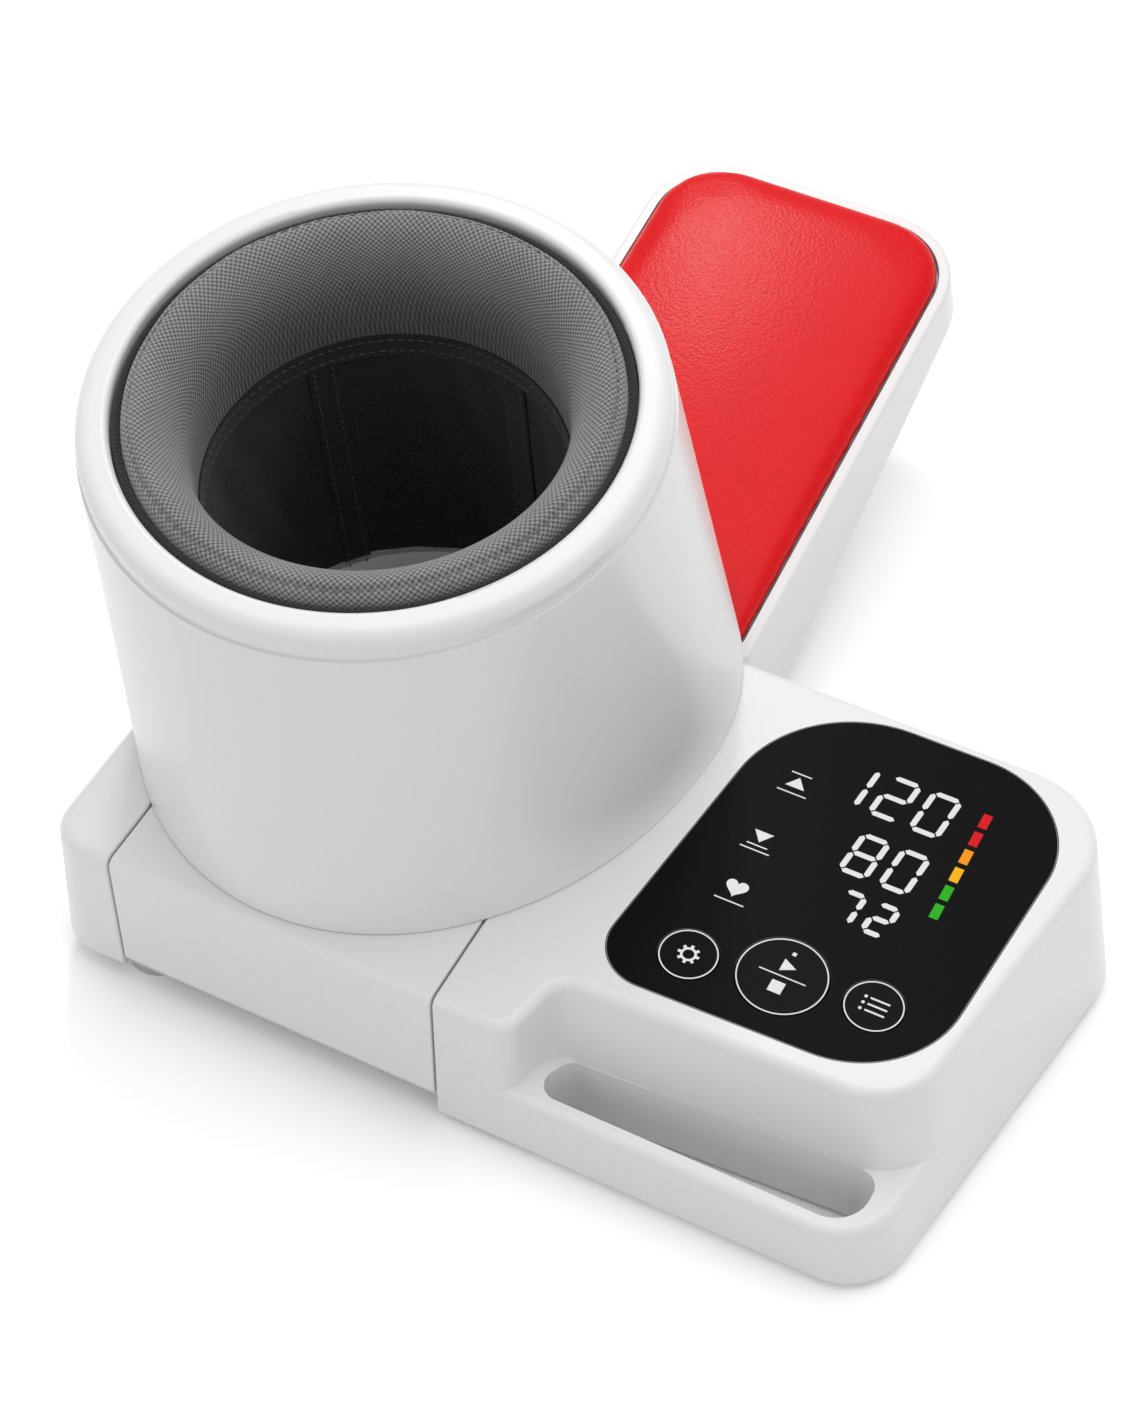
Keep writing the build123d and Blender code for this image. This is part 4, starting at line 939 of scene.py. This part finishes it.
# %% Signs beside the readings
sign_size = 3.3
sign_line = 0.45
foot_line = 7.0
unit_line = 10.0
upper_place = panel_place(63.0, 128.0)
lower_place = panel_place(62.2, 104.0)
pulse_place = panel_place(63.6, 81.5)
signs = [
    printed_shape(upper_place, sign_size, 3, 0.0, (1.15, 0.9)),
    printed_bar(shifted(upper_place, 0, 4.4), foot_line, sign_line),
    printed_bar(shifted(upper_place, 0, -4.0), unit_line, sign_line),
    printed_shape(lower_place, sign_size, 3, math.pi, (1.15, 0.9)),
    printed_bar(shifted(lower_place, 0, -4.4), foot_line, sign_line),
    printed_bar(shifted(lower_place, 0, -6.4), unit_line, sign_line),
    printed_heart(pulse_place, 7.4),
    printed_bar(shifted(pulse_place, 0, -5.8), unit_line, sign_line),
]
# The signs glow like the lit digits: painted light on print.
dress(joined(signs), "reading_signs", lit_digit_and_painted_print_glow, "base", 20)
print("signs:", len(signs))

# %% [markdown]
# The remaining nodes keep their engineering shapes. Each gets the finish of its real material.

# %% Finishes of the engineering nodes
piping_cloth = lining_cloth("piping_cloth", (0.050, 0.050, 0.053), (0.012, 0.012, 0.013))
bladder_film = soft_rubber("bladder_film", (0.05, 0.05, 0.06))
foam = soft_rubber("foam", (0.03, 0.03, 0.03))
finishes = {
    white_shell: (
        "console_housing",
        "left_housing",
        "drum_carriage",
        "drum_shell",
        "rim_ring",
        "rest_tray",
        "rest_bottom_cover",
        "battery_door",
    ),
    pan_plastic: ("base_pan", "battery_box", "inner_drum", "drum_floor", "pad_board"),
    foot_rubber: ("rubber_feet", "rest_bumpers"),
    steel: (
        "base_screws",
        "bracket_screws",
        "drum_screws",
        "rest_screws",
        "left_hinge_pin",
        "right_hinge_pin",
        "rest_hinge_pin",
        "rest_bracket",
    ),
    lens_gloss: ("display_lens",),
    key_gloss: ("set_key", "start_stop_key", "memory_key"),
    lit_digit_and_painted_print_glow: ("display_digits",),
    bar_green: ("green_level_bars",),
    bar_amber: ("amber_level_bars",),
    bar_red: ("red_level_bars",),
    board_green: ("display_board", "main_board"),
    black_plastic: (
        "led_display_module",
        "tact_switches",
        "beeper",
        "board_chips",
        "pressure_sensor",
        "tilt_damper",
        "dc_inlet",
    ),
    pump_metal: ("air_pump", "exhaust_valve"),
    foam: ("pump_cushion",),
    hose_rubber: ("pump_hose", "valve_hose", "cuff_hose"),
    cell_wrap: ("battery_cells",),
    spring_steel: ("battery_contacts",),
    washer_plastic: ("friction_washers",),
    cable_film: ("display_cable",),
    piping_cloth: ("cuff_piping",),
    bladder_film: ("cuff_bladder",),
}
dressed = 0
for material, names in finishes.items():
    for name in names:
        for place in nodes[name].material_slots:
            place.material = material
        dressed += 1
print("dressed nodes:", dressed, "of", len(nodes))

# %% [markdown]
# The photograph is a studio shot on white. A wide floor that is white to the camera keeps the object's
# soft shadow, and the world is white where the camera and reflections see it but gentle as a light.

# %% Floor and world


def seen_ray(tree):
    """1 for a ray from the camera, a reflection or a transmission, and 0 for a ray that only lights."""
    path = tree.nodes.new("ShaderNodeLightPath")
    socket = path.outputs["Is Camera Ray"]
    for name in ("Is Glossy Ray", "Is Transmission Ray"):
        either = tree.nodes.new("ShaderNodeMath")
        either.operation = "MAXIMUM"
        tree.links.new(socket, either.inputs[0])
        tree.links.new(path.outputs[name], either.inputs[1])
        socket = either.outputs[0]
    return socket


def studio_floor(white, plain):
    bpy.ops.object.select_all(action="DESELECT")
    bpy.ops.mesh.primitive_plane_add(size=8.0)
    floor = bpy.context.object
    floor.name = "studio_floor"
    material = bpy.data.materials.new("studio_floor")
    material.use_nodes = True
    tree = material.node_tree
    tree.nodes.clear()
    pick = tree.nodes.new("ShaderNodeMixShader")
    out = tree.nodes.new("ShaderNodeOutputMaterial")
    for socket, shade in ((1, plain), (2, white)):
        paper = tree.nodes.new("ShaderNodeBsdfDiffuse")
        paper.inputs["Color"].default_value = (shade, shade, shade, 1)
        tree.links.new(paper.outputs[0], pick.inputs[socket])
    tree.links.new(seen_ray(tree), pick.inputs[0])
    tree.links.new(pick.outputs[0], out.inputs["Surface"])
    floor.data.materials.append(material)


def studio_world(glow):
    world = bpy.data.worlds.new("studio")
    bpy.context.scene.world = world
    world.use_nodes = True
    tree = world.node_tree
    soft = tree.nodes["Background"]
    soft.inputs["Color"].default_value = (1, 1, 1, 1)
    soft.inputs["Strength"].default_value = glow
    white = tree.nodes.new("ShaderNodeBackground")
    white.inputs["Strength"].default_value = 1.0
    pick = tree.nodes.new("ShaderNodeMixShader")
    tree.links.new(seen_ray(tree), pick.inputs[0])
    tree.links.new(soft.outputs[0], pick.inputs[1])
    tree.links.new(white.outputs[0], pick.inputs[2])
    tree.links.new(pick.outputs[0], tree.nodes["World Output"].inputs["Surface"])


floor_white = 1.20
floor_plain = 0.75
world_glow = 0.70
studio_floor(floor_white, floor_plain)
studio_world(world_glow)
print("floor and world done")

# %% [markdown]
# One large soft box hangs overhead, so the top faces are brightest and the shadow stays under the object.
# A small box behind, on the left, puts the highlight on the red pad, and a weak box at the front left
# keeps the fronts from going grey and gives the drum its falloff from left to right.

# %% Soft boxes


def soft_box(name, place, target, size, power):
    bpy.ops.object.light_add(type="AREA", location=place)
    lamp = bpy.context.object
    lamp.name = name
    lamp.data.shape = "RECTANGLE"
    lamp.data.size = size[0]
    lamp.data.size_y = size[1]
    lamp.data.energy = power
    away = Vector(place) - Vector(target)
    lamp.rotation_euler = away.to_track_quat("Z", "Y").to_euler()


drum_middle = (-0.07, -0.09, 0.12)
pad_spot = (-0.06, 0.17, 0.03)
soft_box("top_box", (0.1, 0.3, 1.8), drum_middle, (1.8, 1.4), 11.0)
soft_box("gloss_box", (-0.60, 0.85, 1.27), pad_spot, (0.20, 0.16), 3.5)
soft_box("front_box", (-0.8, -1.5, 0.9), drum_middle, (1.0, 0.8), 1.2)

# %% [markdown]
# The camera stands where the photographer's stood: 27 degrees to the right of the front and 49 degrees
# up, nearly a metre away, which gives the slight narrowing with distance that the photograph has.

# %% Camera
camera_place = (0.26911, -0.63765, 0.80617)
camera_azimuth = math.radians(27.31)
camera_height = math.radians(49.0)
focal_pixels = 3001.0
image_height = 1402.0
sensor = 36.0
bpy.ops.object.camera_add(location=camera_place, rotation=(math.pi / 2 - camera_height, 0, camera_azimuth))
camera = bpy.context.object
camera.data.sensor_width = sensor
camera.data.lens = focal_pixels / image_height * sensor
bpy.context.scene.camera = camera
bpy.context.scene.view_settings.view_transform = "Standard"
print("lens:", camera.data.lens)
